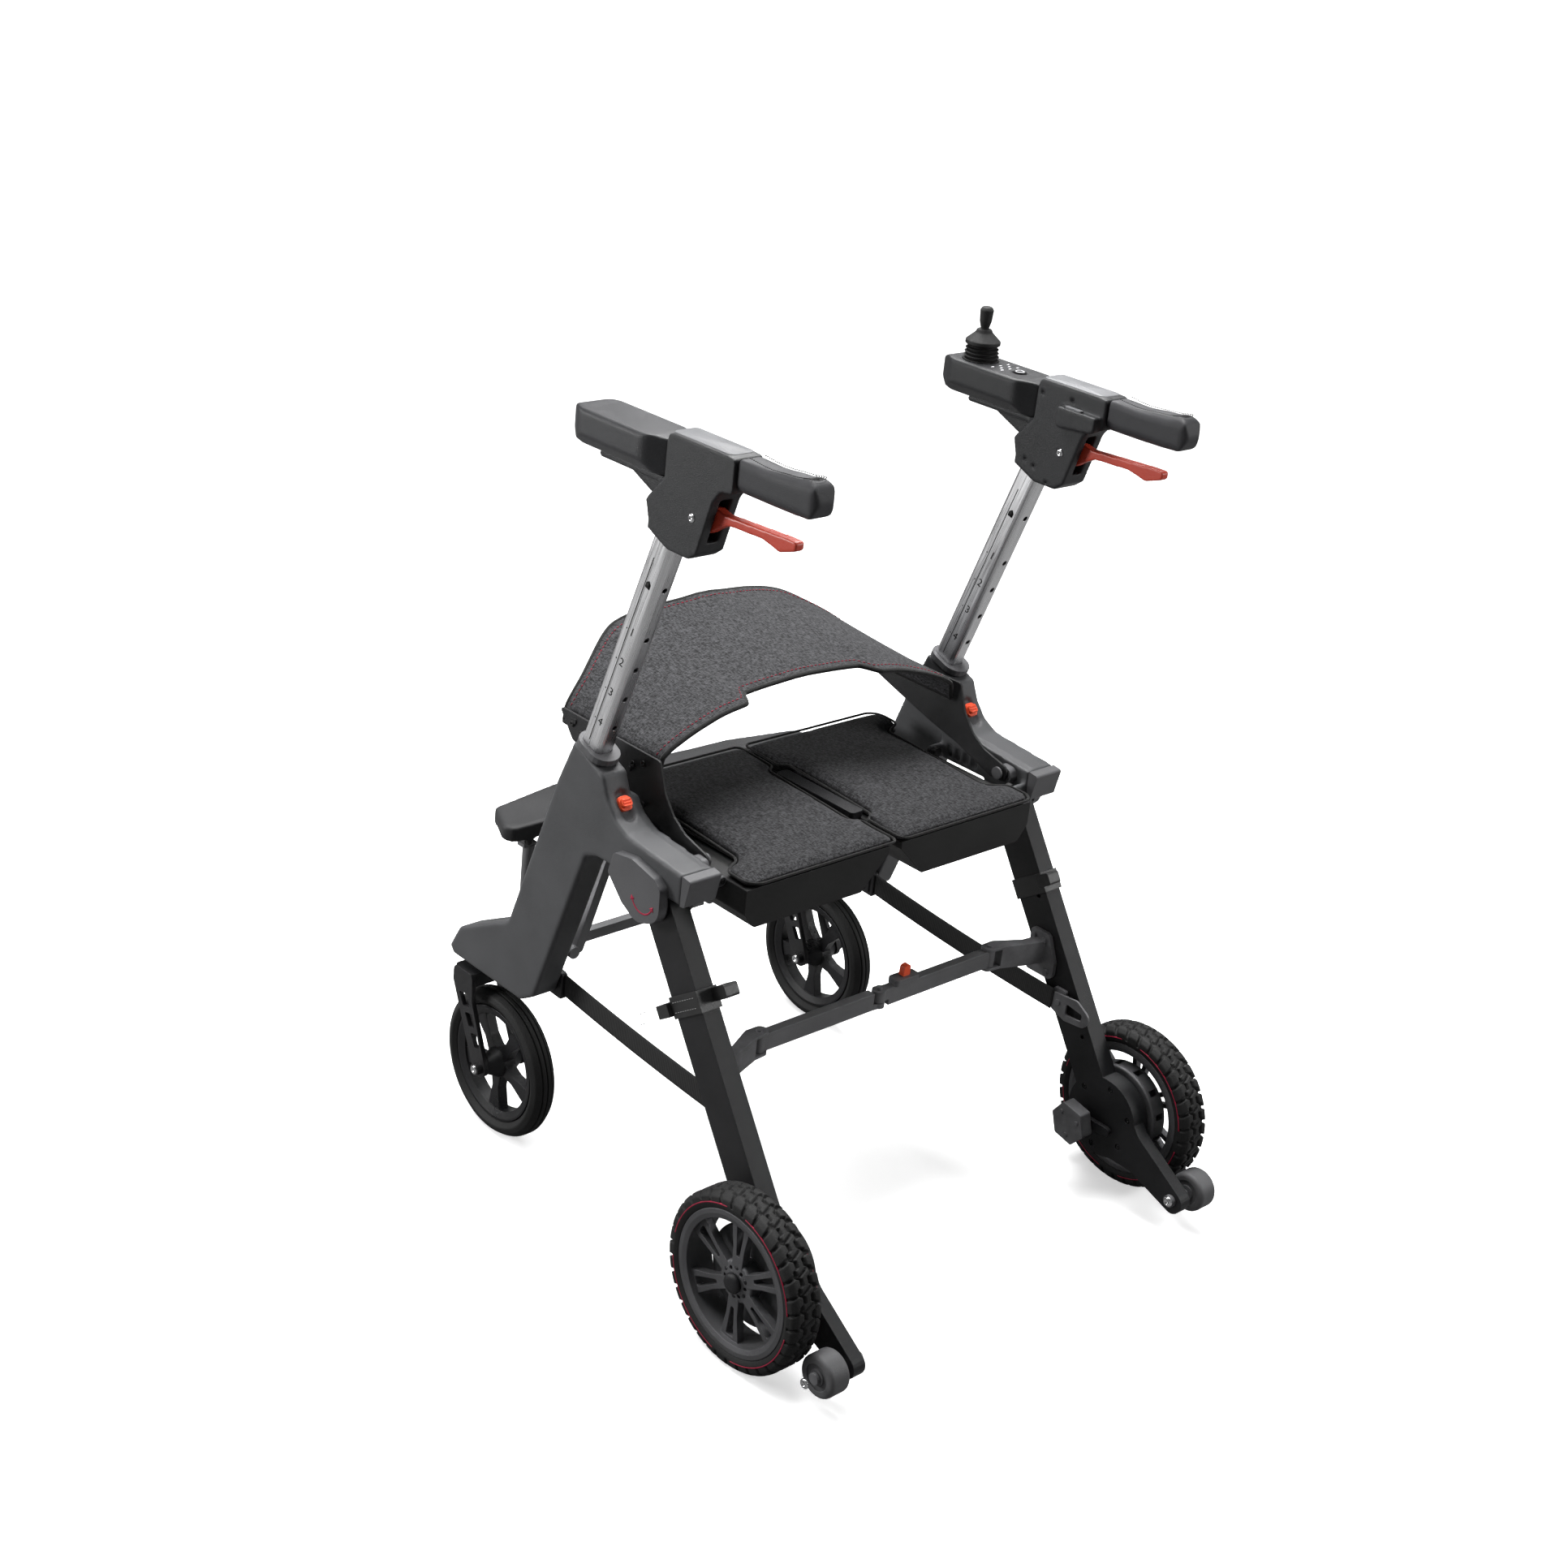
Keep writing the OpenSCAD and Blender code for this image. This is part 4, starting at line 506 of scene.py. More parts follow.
# %% Turn sharp CAD solids into soft mouldings
def remould(node, voxel, passes, finish):
    """A copy of a CAD node with its doubles merged, remeshed at one voxel size, relaxed, and put in its place."""
    source = frame["nodes"][node]
    mesh = source.data.copy()
    bm = bmesh.new()
    bm.from_mesh(mesh)
    bmesh.ops.remove_doubles(bm, verts=bm.verts, dist=1e-5)
    bm.to_mesh(mesh)
    bm.free()
    obj = bpy.data.objects.new(node + "_moulding", mesh)
    bpy.context.scene.collection.objects.link(obj)
    skin = obj.modifiers.new("Skin", "REMESH")
    skin.mode, skin.voxel_size = "VOXEL", voxel
    relax = obj.modifiers.new("Relax", "SMOOTH")
    relax.factor, relax.iterations = 0.5, passes
    baked = bpy.data.meshes.new_from_object(obj.evaluated_get(bpy.context.evaluated_depsgraph_get()))
    obj.modifiers.clear()
    obj.data = baked
    baked.materials.clear()
    baked.materials.append(finish)
    baked.shade_smooth()
    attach(obj, source["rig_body"])
    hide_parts(node)
    print(obj.name, len(baked.vertices), "points")
    return obj


for side in ("left", "right"):
    remould(side + "_side_frame", 0.0022, 6, charcoal)
    remould(side + "_head", 0.0015, 7, head_grey)
    remould(side + "_grip", 0.0015, 8, grip_black)
    remould(side + "_foot_board", 0.0030, 5, board_dark)
    remould(side + "_brake_lever", 0.0011, 7, lever_red)
remould("left_arm_pad", 0.0018, 9, arm_dark)
remould("right_joystick_box", 0.0016, 6, head_grey)

# %% [markdown]
# Drive tyres. The tread is the part that reads at a glance: chunky shoulder blocks with slanted gaps, and
# two zigzag grooves round the middle. A tyre is a closed section carried round the axle, and the tread is
# a height taken off that section wherever a groove passes, so the whole tyre is one formula.

# %% Make the treaded tyres
def smooth_step(t):
    """0 below 0, 1 above 1, and 3t^2 - 2t^3 between."""
    t = np.clip(t, 0, 1)
    return t * t * (3 - 2 * t)


def groove(distance, width):
    """1 in the middle of a groove, falling to 0 over a steep wall at half its width."""
    return 1 - smooth_step((np.abs(distance) - width * 0.35) / (width * 0.25))


def tyre(centre, outer, inner, width, blocks=34, turns=1020):
    """Radius = section radius less the depth of the grooves at that angle and distance from the middle."""
    half = width / 2
    section = rounded([
        (inner, -half * 0.62, 0.001), (inner + 0.0045, -half * 0.90, 0.003), (inner + 0.010, -half, 0.003),
        (outer - 0.0055, -half * 0.97, 0.0035), (outer, -half * 0.70, 0.006), (outer, half * 0.70, 0.006),
        (outer - 0.0055, half * 0.97, 0.0035), (inner + 0.010, half, 0.003),
        (inner + 0.0045, half * 0.90, 0.003), (inner, half * 0.62, 0.001)], 3)
    keep = np.concatenate([section, section[:1]])
    steps = np.linalg.norm(np.diff(keep, axis=0), axis=1)
    along = np.concatenate([[0], np.cumsum(steps)])
    s = np.linspace(0, along[-1], 89)[:-1]
    r, x = np.interp(s, along, keep[:, 0]), np.interp(s, along, keep[:, 1])
    a = np.linspace(0, 2 * np.pi, turns, endpoint=False)
    A, R, X = a[:, None], r[None, :], x[None, :]
    phase = (A * blocks / (2 * np.pi) + np.abs(X) / width * 1.1) % 1.0 - 0.5
    pitch = 2 * np.pi * outer / blocks
    side = groove(phase * pitch, 0.0046) * smooth_step((np.abs(X) - half * 0.34) / 0.002)
    zig = half * 0.36 + 0.0022 * np.sign(np.sin(A * blocks)) * np.minimum(1, 3 * np.abs(np.sin(A * blocks)))
    rings = groove(np.abs(X) - zig, 0.0042)
    middle = groove(((A * blocks / (2 * np.pi) + 0.25 + X / width) % 1.0 - 0.5) * pitch, 0.0036)
    middle = middle * (1 - smooth_step((np.abs(X) - half * 0.30) / 0.002))
    on_crown = smooth_step((R - (outer - 0.013)) / 0.004)
    depth = np.maximum(np.maximum(side, rings), middle * 0.8) * on_crown * 0.0042
    R2 = R - depth
    X2 = X * (1 - 0.05 * side * on_crown) + 0 * A
    pts = np.stack([centre[0] + X2, centre[1] + R2 * np.cos(A), centre[2] + R2 * np.sin(A)], -1)
    return grid(pts, loop=True)


drive_lo, drive_hi = (np.array(c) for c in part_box("left_drive_tyre"))
drive_r, drive_w = (drive_hi[2] - drive_lo[2]) / 2, drive_hi[0] - drive_lo[0]
for side, s in (("left", 1), ("right", -1)):
    c = pivot(side + "_drive")
    c[0] = s * abs(mid("left_drive_tyre")[0])
    piece(side + "_tread", tyre(c, drive_r, drive_r - 0.0238, drive_w), tyre_black,
          side + "_wheel", [side + "_drive_tyre"])

# %% [markdown]
# A thin dark-red line runs round each sidewall in four arcs with gaps, moulded a hair proud of the rubber.

# %% Lay the red arcs on the sidewalls
def arc_band(c, radius, x, a0, a1, wide, proud):
    """A strip of a flat ring from angle a0 to a1, with rounded section."""
    a = np.linspace(a0, a1, 60)
    path = np.stack([np.full_like(a, x), c[1] + radius * np.cos(a), c[2] + radius * np.sin(a)], 1)
    v, f = tube(path, wide / 2, 8)
    v[:, 0] = x + (v[:, 0] - x) * proud / (wide / 2)
    return v, f


for side, s in (("left", 1), ("right", -1)):
    c = pivot(side + "_drive")
    arcs = []
    for face in (1, -1):
        x = s * abs(mid("left_drive_tyre")[0]) + face * (drive_w / 2 - 0.0006)
        arcs += [arc_band(c, drive_r - 0.0125, x, k * math.pi / 2 + 0.16, (k + 1) * math.pi / 2 - 0.16, 0.0018, 0.0009)
                 for k in range(4)]
    piece(side + "_tyre_lines", together(arcs), crimson, side + "_wheel")

# %% [markdown]
# Seat pads. Each is a firm foam pad in heather cloth: nearly flat on top, crowned towards its seams, flat
# where it lies on the tray. A slightly smaller copy of the CAD pad is remeshed and blown up for a moment
# with the Cloth simulation, with every point's travel capped, then laid flat again underneath.

# %% Stuff the seat pads
def stuff(node, shrink, cap, pressure, finish):
    """Copy, shrink along the normals, remesh, inflate as cloth, cap the travel, and add one subdivision."""
    source = frame["nodes"][node]
    mesh = source.data.copy()
    bm = bmesh.new()
    bm.from_mesh(mesh)
    bmesh.ops.remove_doubles(bm, verts=bm.verts, dist=1e-5)
    bm.to_mesh(mesh)
    bm.free()
    obj = bpy.data.objects.new(node + "_stuffed", mesh)
    scene = bpy.context.scene
    scene.collection.objects.link(obj)
    remesh = obj.modifiers.new("Even", "REMESH")
    remesh.mode, remesh.voxel_size = "VOXEL", 0.0048
    relax = obj.modifiers.new("Relax", "SMOOTH")
    relax.factor, relax.iterations = 0.5, 3
    take_in = obj.modifiers.new("TakeIn", "DISPLACE")
    take_in.strength, take_in.mid_level = -shrink, 0.0
    graph = bpy.context.evaluated_depsgraph_get()
    obj.data = bpy.data.meshes.new_from_object(obj.evaluated_get(graph))
    obj.modifiers.clear()
    n = len(obj.data.vertices)
    start = np.empty(n * 3, np.float32)
    obj.data.vertices.foreach_get("co", start)
    start = start.reshape(-1, 3)
    lo, hi = (np.array(c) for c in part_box(node))
    cloth = obj.modifiers.new("Stuffing", "CLOTH")
    cloth.settings.use_pressure = True
    cloth.settings.uniform_pressure_force = pressure
    cloth.settings.effector_weights.gravity = 0
    cloth.settings.quality = 5
    for f in range(1, 17):
        scene.frame_set(f)
    done = obj.evaluated_get(bpy.context.evaluated_depsgraph_get()).data
    end = np.empty(n * 3, np.float32)
    done.vertices.foreach_get("co", end)
    move = end.reshape(-1, 3) - start
    far = np.linalg.norm(move, axis=1, keepdims=True)
    start = start + move * np.minimum(1, cap / np.maximum(far, 1e-9))
    obj.modifiers.clear()
    scene.frame_set(1)
    start[:, 2] = np.maximum(start[:, 2], lo[2] + 0.0004)
    obj.data.vertices.foreach_set("co", start.ravel())
    finer = obj.modifiers.new("Finer", "SUBSURF")
    finer.levels = finer.render_levels = 1
    obj.data = bpy.data.meshes.new_from_object(obj.evaluated_get(bpy.context.evaluated_depsgraph_get()))
    obj.modifiers.clear()
    obj.data.materials.clear()
    obj.data.materials.append(finish)
    obj.data.shade_smooth()
    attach(obj, source["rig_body"])
    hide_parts(node)
    print(obj.name, len(obj.data.vertices), "points")
    return obj


for side in ("left", "right"):
    stuff(side + "_seat_pad", 0.0022, 0.0042, 4.0, seat_cloth)

# %% [markdown]
# A welt, a cord covered in the same cloth, runs round each pad where the top meets the sides. It follows
# the pad's own outline, a little in from the edge, at the height the pad has there.

# %% Sew the welts
pad_lo, pad_hi = (np.array(c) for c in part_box("left_seat_pad"))
notch_x = side_x - 0.084


def pad_top(y):
    """Height of the pad's top: level at the front, falling to the back."""
    t = np.clip((y - pad_lo[1]) / (pad_hi[1] - pad_lo[1]), 0, 1)
    return pad_hi[2] - 0.013 * t ** 1.3


pad_outline = rounded([
    (0.0045, pad_lo[1] + 0.0015, 0.010), (pad_hi[0] - 0.0015, pad_lo[1] + 0.0015, 0.020),
    (pad_hi[0] - 0.0015, -0.160, 0.014),
    (notch_x - 0.0015, -0.146, 0.014), (notch_x - 0.0015, 0.028, 0.014), (pad_hi[0] - 0.0015, 0.043, 0.014),
    (pad_hi[0] - 0.0015, pad_hi[1] - 0.0015, 0.018), (0.0045, pad_hi[1] - 0.0015, 0.010), (0.0045, 0.0265, 0.006),
    (0.0175, 0.018, 0.008), (0.0175, -0.130, 0.008), (0.0045, -0.1385, 0.006)], 6)


def even(points, count, closed=True):
    """The same line with points at equal steps."""
    p = np.concatenate([points, points[:1]]) if closed else points
    d = np.concatenate([[0], np.cumsum(np.linalg.norm(np.diff(p, axis=0), axis=1))])
    s = np.linspace(0, d[-1], count, endpoint=not closed)
    return np.stack([np.interp(s, d, p[:, k]) for k in range(p.shape[1])], 1)


for side, s in (("left", 1), ("right", -1)):
    line = even(pad_outline, 420)
    parts = []
    for drop, r in ((0.0038, 0.0016), (0.0165, 0.0013)):
        z = np.maximum(pad_top(line[:, 1]) - drop, seat_z + 0.002)
        parts.append(tube(np.stack([s * line[:, 0], line[:, 1], z], 1), r, 8, closed=True))
    piece(side + "_pad_welt", together(parts), edge_tape, side + "_seat")

# %% [markdown]
# The backrest band is a sheet of stiff felt, bent into a hoop between the two side plates and rising
# towards the front. One parameter runs along the hoop from plate to plate, the other from the front edge
# to the back edge, and a step in the back edge makes the notch. The sheet is closed with a thin wall.

# %% Bend the band
plate_x = mid("left_back_plate")[0] - 0.0045
band_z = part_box("left_back_plate")[1][2]
hoop_t = np.linspace(0, 1, 8)
hoop_out = np.array([0, 0.264, 0.46, 0.60, 0.80, 0.93, 0.99, 1.0])
hoop_up = np.array([1, 0.93, 0.83, 0.73, 0.45, 0.20, 0.0, -0.26])
front_rise, back_rise = 0.092, 0.050


def soft_hoop(t):
    """The hoop's out and up shares at t, with the corners between the set points smoothed by averaging."""
    k = np.linspace(-0.045, 0.045, 7)
    tt = np.clip(np.abs(t)[..., None] + k, 0, 1)
    tt = np.where(np.abs(t)[..., None] + k < 0, -(np.abs(t)[..., None] + k), tt)
    return np.interp(tt, hoop_t, hoop_out).mean(-1) * 1.0, np.interp(tt, hoop_t, hoop_up).mean(-1)


def band_surface(t, v):
    """Point of the band at t along the hoop (-1 to 1) and v across it (0 front, 1 back)."""
    out, up = soft_hoop(t)
    rise = front_rise + (back_rise - front_rise) * v
    z = np.where(up < 0, band_z + front_rise * up, band_z + rise * up)
    front = -0.259 - 0.051 * smooth_step((1 - out) / 0.5) + 0.011 * smooth_step((0.5 - out) / 0.4)
    back = -0.079 - 0.004 * smooth_step((1 - out) / 0.4) - 0.024 * smooth_step((0.46 - out) / 0.08)
    return np.stack([np.sign(t) * (plate_x - 0.0006) * out, front + (back - front) * v, z], -1)


def shell(surface, t, v, lift):
    """The surface moved along its own normal by lift, found from small steps in t and v."""
    e = 1e-3
    p = surface(t, v)
    n = np.cross(surface(t + e, v) - surface(t - e, v), surface(t, v + e) - surface(t, v - e))
    n /= np.maximum(np.linalg.norm(n, axis=-1, keepdims=True), 1e-12)
    n *= np.where(n[..., 2:3] < 0, -1, 1)
    return p + n * lift


band_thick = 0.0045
T, V = np.meshgrid(np.linspace(-0.995, 0.995, 161), np.linspace(0, 1, 41), indexing="ij")
top, under = shell(band_surface, T, V, -0.0006), shell(band_surface, T, V, -0.0006 - band_thick)
section = np.concatenate([top, under[:, ::-1]], 1)
band = piece("felt_band", grid(section, capped=True), band_cloth, "left_back", ["back_band"])
crease(band, 50)
along = np.linalg.norm(np.diff(top, axis=0), axis=-1).sum(0)
across = np.linalg.norm(np.diff(top, axis=1), axis=-1).sum(1)

# %% [markdown]
# The band's edge is bound with black tape, and a row of dark-red stitches runs just inside it. Each stitch
# is a short thread with few faces, because there are hundreds.

# %% Bind and stitch the band
def rim_path(d, count):
    """A closed line round the band, d metres in from its edges."""
    n = count // 4
    vd = d / np.array([across.max()])[0]
    td = d / along.mean() * 2
    lo_t, hi_t = -0.995 + td, 0.995 - td
    t = np.concatenate([np.linspace(lo_t, hi_t, n), np.full(n // 2, hi_t),
                        np.linspace(hi_t, lo_t, n), np.full(n // 2, lo_t)])
    v = np.concatenate([np.full(n, vd), np.linspace(vd, 1 - vd, n // 2),
                        np.full(n, 1 - vd), np.linspace(1 - vd, vd, n // 2)])
    return t, v


def stitches(path, normals, length, gap, r):
    """Short threads along a line: each is four rings of six points, thick in the middle and pressed at the ends."""
    d = np.concatenate([[0], np.cumsum(np.linalg.norm(np.diff(path, axis=0), axis=1))])
    starts = np.arange(0, d[-1] - length, length + gap)
    out = []
    for s0 in starts:
        s = s0 + np.array([0.0, 0.3, 0.7, 1.0]) * length
        p = np.stack([np.interp(s, d, path[:, k]) for k in range(3)], 1)
        n = np.stack([np.interp(s, d, normals[:, k]) for k in range(3)], 1)
        out.append(tube(p + n * np.array([-0.3, 0.5, 0.5, -0.3])[:, None] * r, r * np.array([0.5, 1, 1, 0.5]), 6))
    return together(out)


t, v = rim_path(0.0, 900)
binding_mid = shell(band_surface, t, v, -0.0006 - band_thick / 2)
binding = piece("band_binding", tube(even(binding_mid, 700), 0.0032, 10, closed=True), edge_tape,
                "left_back")
t, v = rim_path(0.011, 1600)
line, lifted = shell(band_surface, t, v, -0.0004), shell(band_surface, t, v, 0.0006)
normal = (lifted - line) / np.linalg.norm(lifted - line, axis=1, keepdims=True)
seam_front = stitches(line[20:380], normal[20:380], 0.0042, 0.0024, 0.00055)
seam_back = stitches(line[620:980], normal[620:980], 0.0042, 0.0024, 0.00055)
threads = piece("band_stitching", together([seam_front, seam_back]), thread_red, "left_back")

# %% [markdown]
# Webbing. A flat woven strap braces each side from the front foot of the frame to the rear leg. The strip is
# made in place and rides on no body, so it stays put when the leg folds; its buckle rides on the frame.

# %% Weave the side straps
strap_lo, strap_hi = (np.array(c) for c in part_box("left_strap"))


def strip(a, b, width, thick, x, sag, n=90, m=9):
    """A flat strap from a to b in the plane x: thickness across x, width square to its run, a slight sag."""
    u = np.linspace(0, 1, n)
    mid_line = a + (b - a) * u[:, None]
    mid_line[:, 1] -= sag * 4 * u * (1 - u)
    t = (b - a) / np.linalg.norm(b - a)
    side_dir = np.array([-t[1], t[0]])
    w = np.linspace(-0.5, 0.5, m)
    yz = mid_line[:, None] + w[None, :, None] * width * side_dir
    bow = thick * (0.5 - 0.35 * (2 * np.abs(w)) ** 6)
    front = np.concatenate([np.broadcast_to((x + bow)[None, :, None], (n, m, 1)), yz], -1)
    back = np.concatenate([np.broadcast_to((x - bow)[None, :, None], (n, m, 1)), yz], -1)
    return grid(np.concatenate([front, back[:, ::-1]], 1), capped=True)


strap_x = strap_lo[0] + 0.004
strap_a = np.array([strap_lo[1] + 0.018, strap_hi[2] - 0.021])
strap_b = np.array([strap_hi[1] + 0.004, strap_lo[2] + 0.016])
for side, s in (("left", 1), ("right", -1)):
    body, leg = side + "_frame", side + "_leg"
    ribbon = piece(side + "_webbing", strip(strap_a, strap_b, 0.030, 0.0018, s * strap_x, 0.004),
                   webbing, None, [side + "_strap"])
    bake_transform(ribbon)
    frame_y = strap_a[0]
    buckle = rounded([(frame_y - 0.014, strap_a[1] - 0.020, 0.004), (frame_y + 0.012, strap_a[1] - 0.021, 0.004),
                      (frame_y + 0.012, strap_a[1] + 0.014, 0.004), (frame_y - 0.010, strap_a[1] + 0.018, 0.004)])
    near, far = sorted((s * (strap_x - 0.0035), s * (strap_x + 0.0055)))
    parts = [plate(buckle, near, far, 0.001)]
    for k in (-0.006, 0.004):
        a = np.linspace(-0.015, 0.013, 12)
        bar = np.stack([np.full(12, s * (strap_x - 0.004)), np.full(12, frame_y + k), strap_a[1] + a], 1)
        parts.append(tube(bar, 0.0016, 8))
    crease(piece(side + "_strap_buckle", together(parts), hard_black, body))

# %% [markdown]
# Screws and bolts. Each is turned from one small profile: a domed head with a socket sunk in it.

# %% Turn the screws
def screw(at, axis, r, h):
    """A button-head screw: flange, dome and a sunk socket, turned about its axis."""
    prof = [(r, 0), (r, h * 0.35), (r * 0.86, h * 0.8), (r * 0.6, h), (r * 0.46, h), (r * 0.42, h * 0.45),
            (0.0002, h * 0.4)]
    return lathe([(0.0002, -0.0002)] + prof, at, axis, 20)


lev = pivot("left_brake")
head_lo, head_hi = (np.array(c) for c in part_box("left_head"))
leg_lo = np.array(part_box("left_rear_leg")[0])
roll = pivot("left_roller_spin")
cast = pivot("left_caster_roll")
fork_hi = np.array(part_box("left_caster_fork")[1])
fork_lo = np.array(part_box("left_caster_fork")[0])
leg_in = leg_lo[0]
for side, s in (("left", 1), ("right", -1)):
    head_out = [screw((s * (head_hi[0] - 0.0004), lev[1], lev[2]), (s, 0, 0), 0.0052, 0.0022)] if s > 0 else []
    inner = [screw((s * (head_lo[0] + 0.0004), lev[1], lev[2]), (-s, 0, 0), 0.0052, 0.0022)] if s > 0 else \
        [screw((-side_x + 0.0196, lev[1], lev[2]), (1, 0, 0), 0.0052, 0.0022)]
    piece(side + "_lever_screws", together(head_out + inner), chrome, side + "_upright")
    wheel_nut = [lathe([(0.0002, 0), (0.0125, 0), (0.0125, 0.003), (0.0105, 0.0052), (0.0040, 0.0058),
                        (0.0002, 0.0058)], (s * (side_x + 0.0605), hub[1], hub[2]), (s, 0, 0), 32)]
    for k in range(6):
        a = k * math.pi / 3 + math.pi / 6
        wheel_nut.append(lathe([(0.0002, 0), (0.0034, 0), (0.0034, 0.0008), (0.0002, 0.0012)],
                               (s * (side_x + 0.0575), hub[1] + 0.0175 * math.cos(a),
                                hub[2] + 0.0175 * math.sin(a)), (s, 0, 0), 16))
    piece(side + "_hub_cap", together(wheel_nut), hard_black, side + "_wheel")
    leg_bolts = []
    for k in range(6):
        a = math.radians(20 + 60 * k)
        at = (s * (leg_in + 0.0022), hub[1] + 0.044 * math.cos(a), hub[2] + 0.044 * math.sin(a))
        leg_bolts.append(screw(at, (-s, 0, 0), 0.0036, 0.0018))
    piece(side + "_motor_screws", together(leg_bolts), black_screw, side + "_leg")
    tip = [screw((s * (leg_in - 0.0049), roll[1], roll[2]), (-s, 0, 0), 0.0070, 0.003),
           screw((s * (roll[0] + 0.0185 + 0.0132), roll[1], roll[2]), (s, 0, 0), 0.0062, 0.002)]
    piece(side + "_roller_bolt", together(tip), chrome, side + "_leg")
    cast_bolts = [screw((s * fork_hi[0], cast[1], cast[2]), (s, 0, 0), 0.0062, 0.0022),
                  screw((s * fork_lo[0], cast[1], cast[2]), (-s, 0, 0), 0.0062, 0.0022)]
    piece(side + "_caster_bolts", together(cast_bolts), chrome, side + "_caster")

# %% [markdown]
# The uprights carry a scale: a fine line down one face and a number at each height hole but the lowest. Numbers are
# plain sans digits, made as text, turned into mesh, and laid on the tube's face.

# %% Mark the uprights
def on_upright(x, s, d):
    """World point s metres above the collar along the tube and d metres behind its axis."""
    base = np.array([x, -0.141, seat_z + 0.092])
    back = np.array([0, math.cos(lean), -math.sin(lean)])
    return base + up_axis * s + back * d


def text_shape(text, size, thick):
    """A text object made into points and faces in its own plane."""
    curve = bpy.data.curves.new("digit", "FONT")
    curve.body, curve.size, curve.extrude, curve.resolution_u = text, size, thick, 3
    obj = bpy.data.objects.new("digit", curve)
    bpy.context.scene.collection.objects.link(obj)
    mesh = bpy.data.meshes.new_from_object(obj.evaluated_get(bpy.context.evaluated_depsgraph_get()))
    co = np.empty(len(mesh.vertices) * 3)
    mesh.vertices.foreach_get("co", co)
    faces = [tuple(p.vertices) for p in mesh.polygons]
    bpy.data.objects.remove(obj)
    return co.reshape(-1, 3), faces


digit_at = {"1": 0.180, "2": 0.137, "3": 0.0935, "4": 0.0495, "5": 0.0065}
tube_half = 0.013
for side, s in (("left", 1), ("right", -1)):
    x = s * side_x + tube_half
    back = np.array([0, math.cos(lean), -math.sin(lean)])
    parts = []
    for digit, height in digit_at.items():
        if height < 0.03:
            continue
        v, f = text_shape(digit, 0.015, 0.00012)
        flat = v[:, :1] * back + v[:, 1:2] * up_axis + v[:, 2:] * np.array([1, 0, 0])
        v = on_upright(x + 0.0001, height, 0.0025) + flat
        parts.append((v, f))
        dot = lathe([(0.0001, 0), (0.0009, 0), (0.0009, 0.0002), (0.0001, 0.0003)],
                    on_upright(x, height + 0.004, -0.0035), (1, 0, 0), 12)
        parts.append(dot)
    base, run = on_upright(x, 0.022, -0.0005), 0.262
    rule = np.array([base, base + up_axis * run])
    line = tube(np.linspace(rule[0], rule[1], 12), 0.00055, 6)
    parts.append(line)
    mark = rounded([(-0.004, 0, 0.001), (0.004, 0, 0.001), (0.004, 0.006, 0.001), (0, 0.010, 0.001),
                    (-0.004, 0.006, 0.001)])
    v, f = plate(mark, 0, 0.0003, 0.00005, "yz")
    v = on_upright(x, 0.246, 0.005) + v[:, :1] * np.array([1, 0, 0]) + v[:, 1:2] * back + v[:, 2:] * up_axis
    parts.append((v, f))
    piece(side + "_scale", together(parts), ink_black, side + "_upright")

# %% [markdown]
# The hinge cover carries a crimson arc with an arrowhead at each end, which shows the way the leg folds.

# %% Draw the fold arrows
cover_x = np.array(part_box("left_frame_trim")[1])[0]
for side, s in (("left", 1), ("right", -1)):
    a = np.radians(np.linspace(205, 335, 40))
    ring_y, ring_z = leg_piv[1] + 0.0 + 0.0185 * np.cos(a), leg_piv[2] + 0.006 + 0.0185 * np.sin(a)
    v, f = tube(np.stack([np.full(40, s * cover_x), ring_y, ring_z], 1), 0.0011, 8)
    v[:, 0] = s * cover_x + (v[:, 0] - s * cover_x) * 0.35
    parts = [(v, f)]
    for end, turn in ((0, -1), (-1, 1)):
        c0 = np.array([ring_y[end], ring_z[end]])
        t = turn * np.array([-math.sin(a[end]), math.cos(a[end])])
        n = np.array([t[1], -t[0]])
        head = np.array([c0 + t * 0.006, c0 + n * 0.0038, c0 - n * 0.0038])
        out = head if s > 0 else head[::-1]
        lo, hi = sorted((s * (cover_x - 0.0003), s * (cover_x + 0.0004)))
        parts.append(plate(rounded([(*p, 0.0004) for p in out], 2), lo, hi, 0.00005))
    piece(side + "_fold_arrow", together(parts), crimson, side + "_frame")

# %% [markdown]
# The joystick stands on a rubber bellows: a stack of soft pleats that gets narrower upwards. Its section
# is a wave, turned round the stick's axis.

# %% Mould the bellows
stick = pivot("joystick_forward")
bel_lo, bel_hi = (np.array(c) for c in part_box("joystick_bellows"))
h = np.linspace(0, 1, 97)
radius = (bel_hi[0] - bel_lo[0]) / 2 - 0.0022 - 0.0028 * h + 0.0022 * np.cos(h * 2 * math.pi * 4)
outer = np.stack([radius, bel_lo[2] + h * (bel_hi[2] - bel_lo[2])], 1)
inner = outer[::-1] - np.array([0.0018, 0])
ring = np.concatenate([outer, inner])
a = np.linspace(0, 2 * np.pi, 72, endpoint=False)[:, None]
pts = np.stack([stick[0] + ring[:, 0] * np.cos(a), stick[1] + ring[:, 0] * np.sin(a), ring[:, 1] + 0 * a], -1)
piece("stick_bellows", grid(pts, loop=True), soft_rubber, "right_upright", ["joystick_bellows"])

# %% [markdown]
# The panel behind the joystick has rows of small pale bars, and its round button has a pale ring. They are
# generic lights, with no lettering.

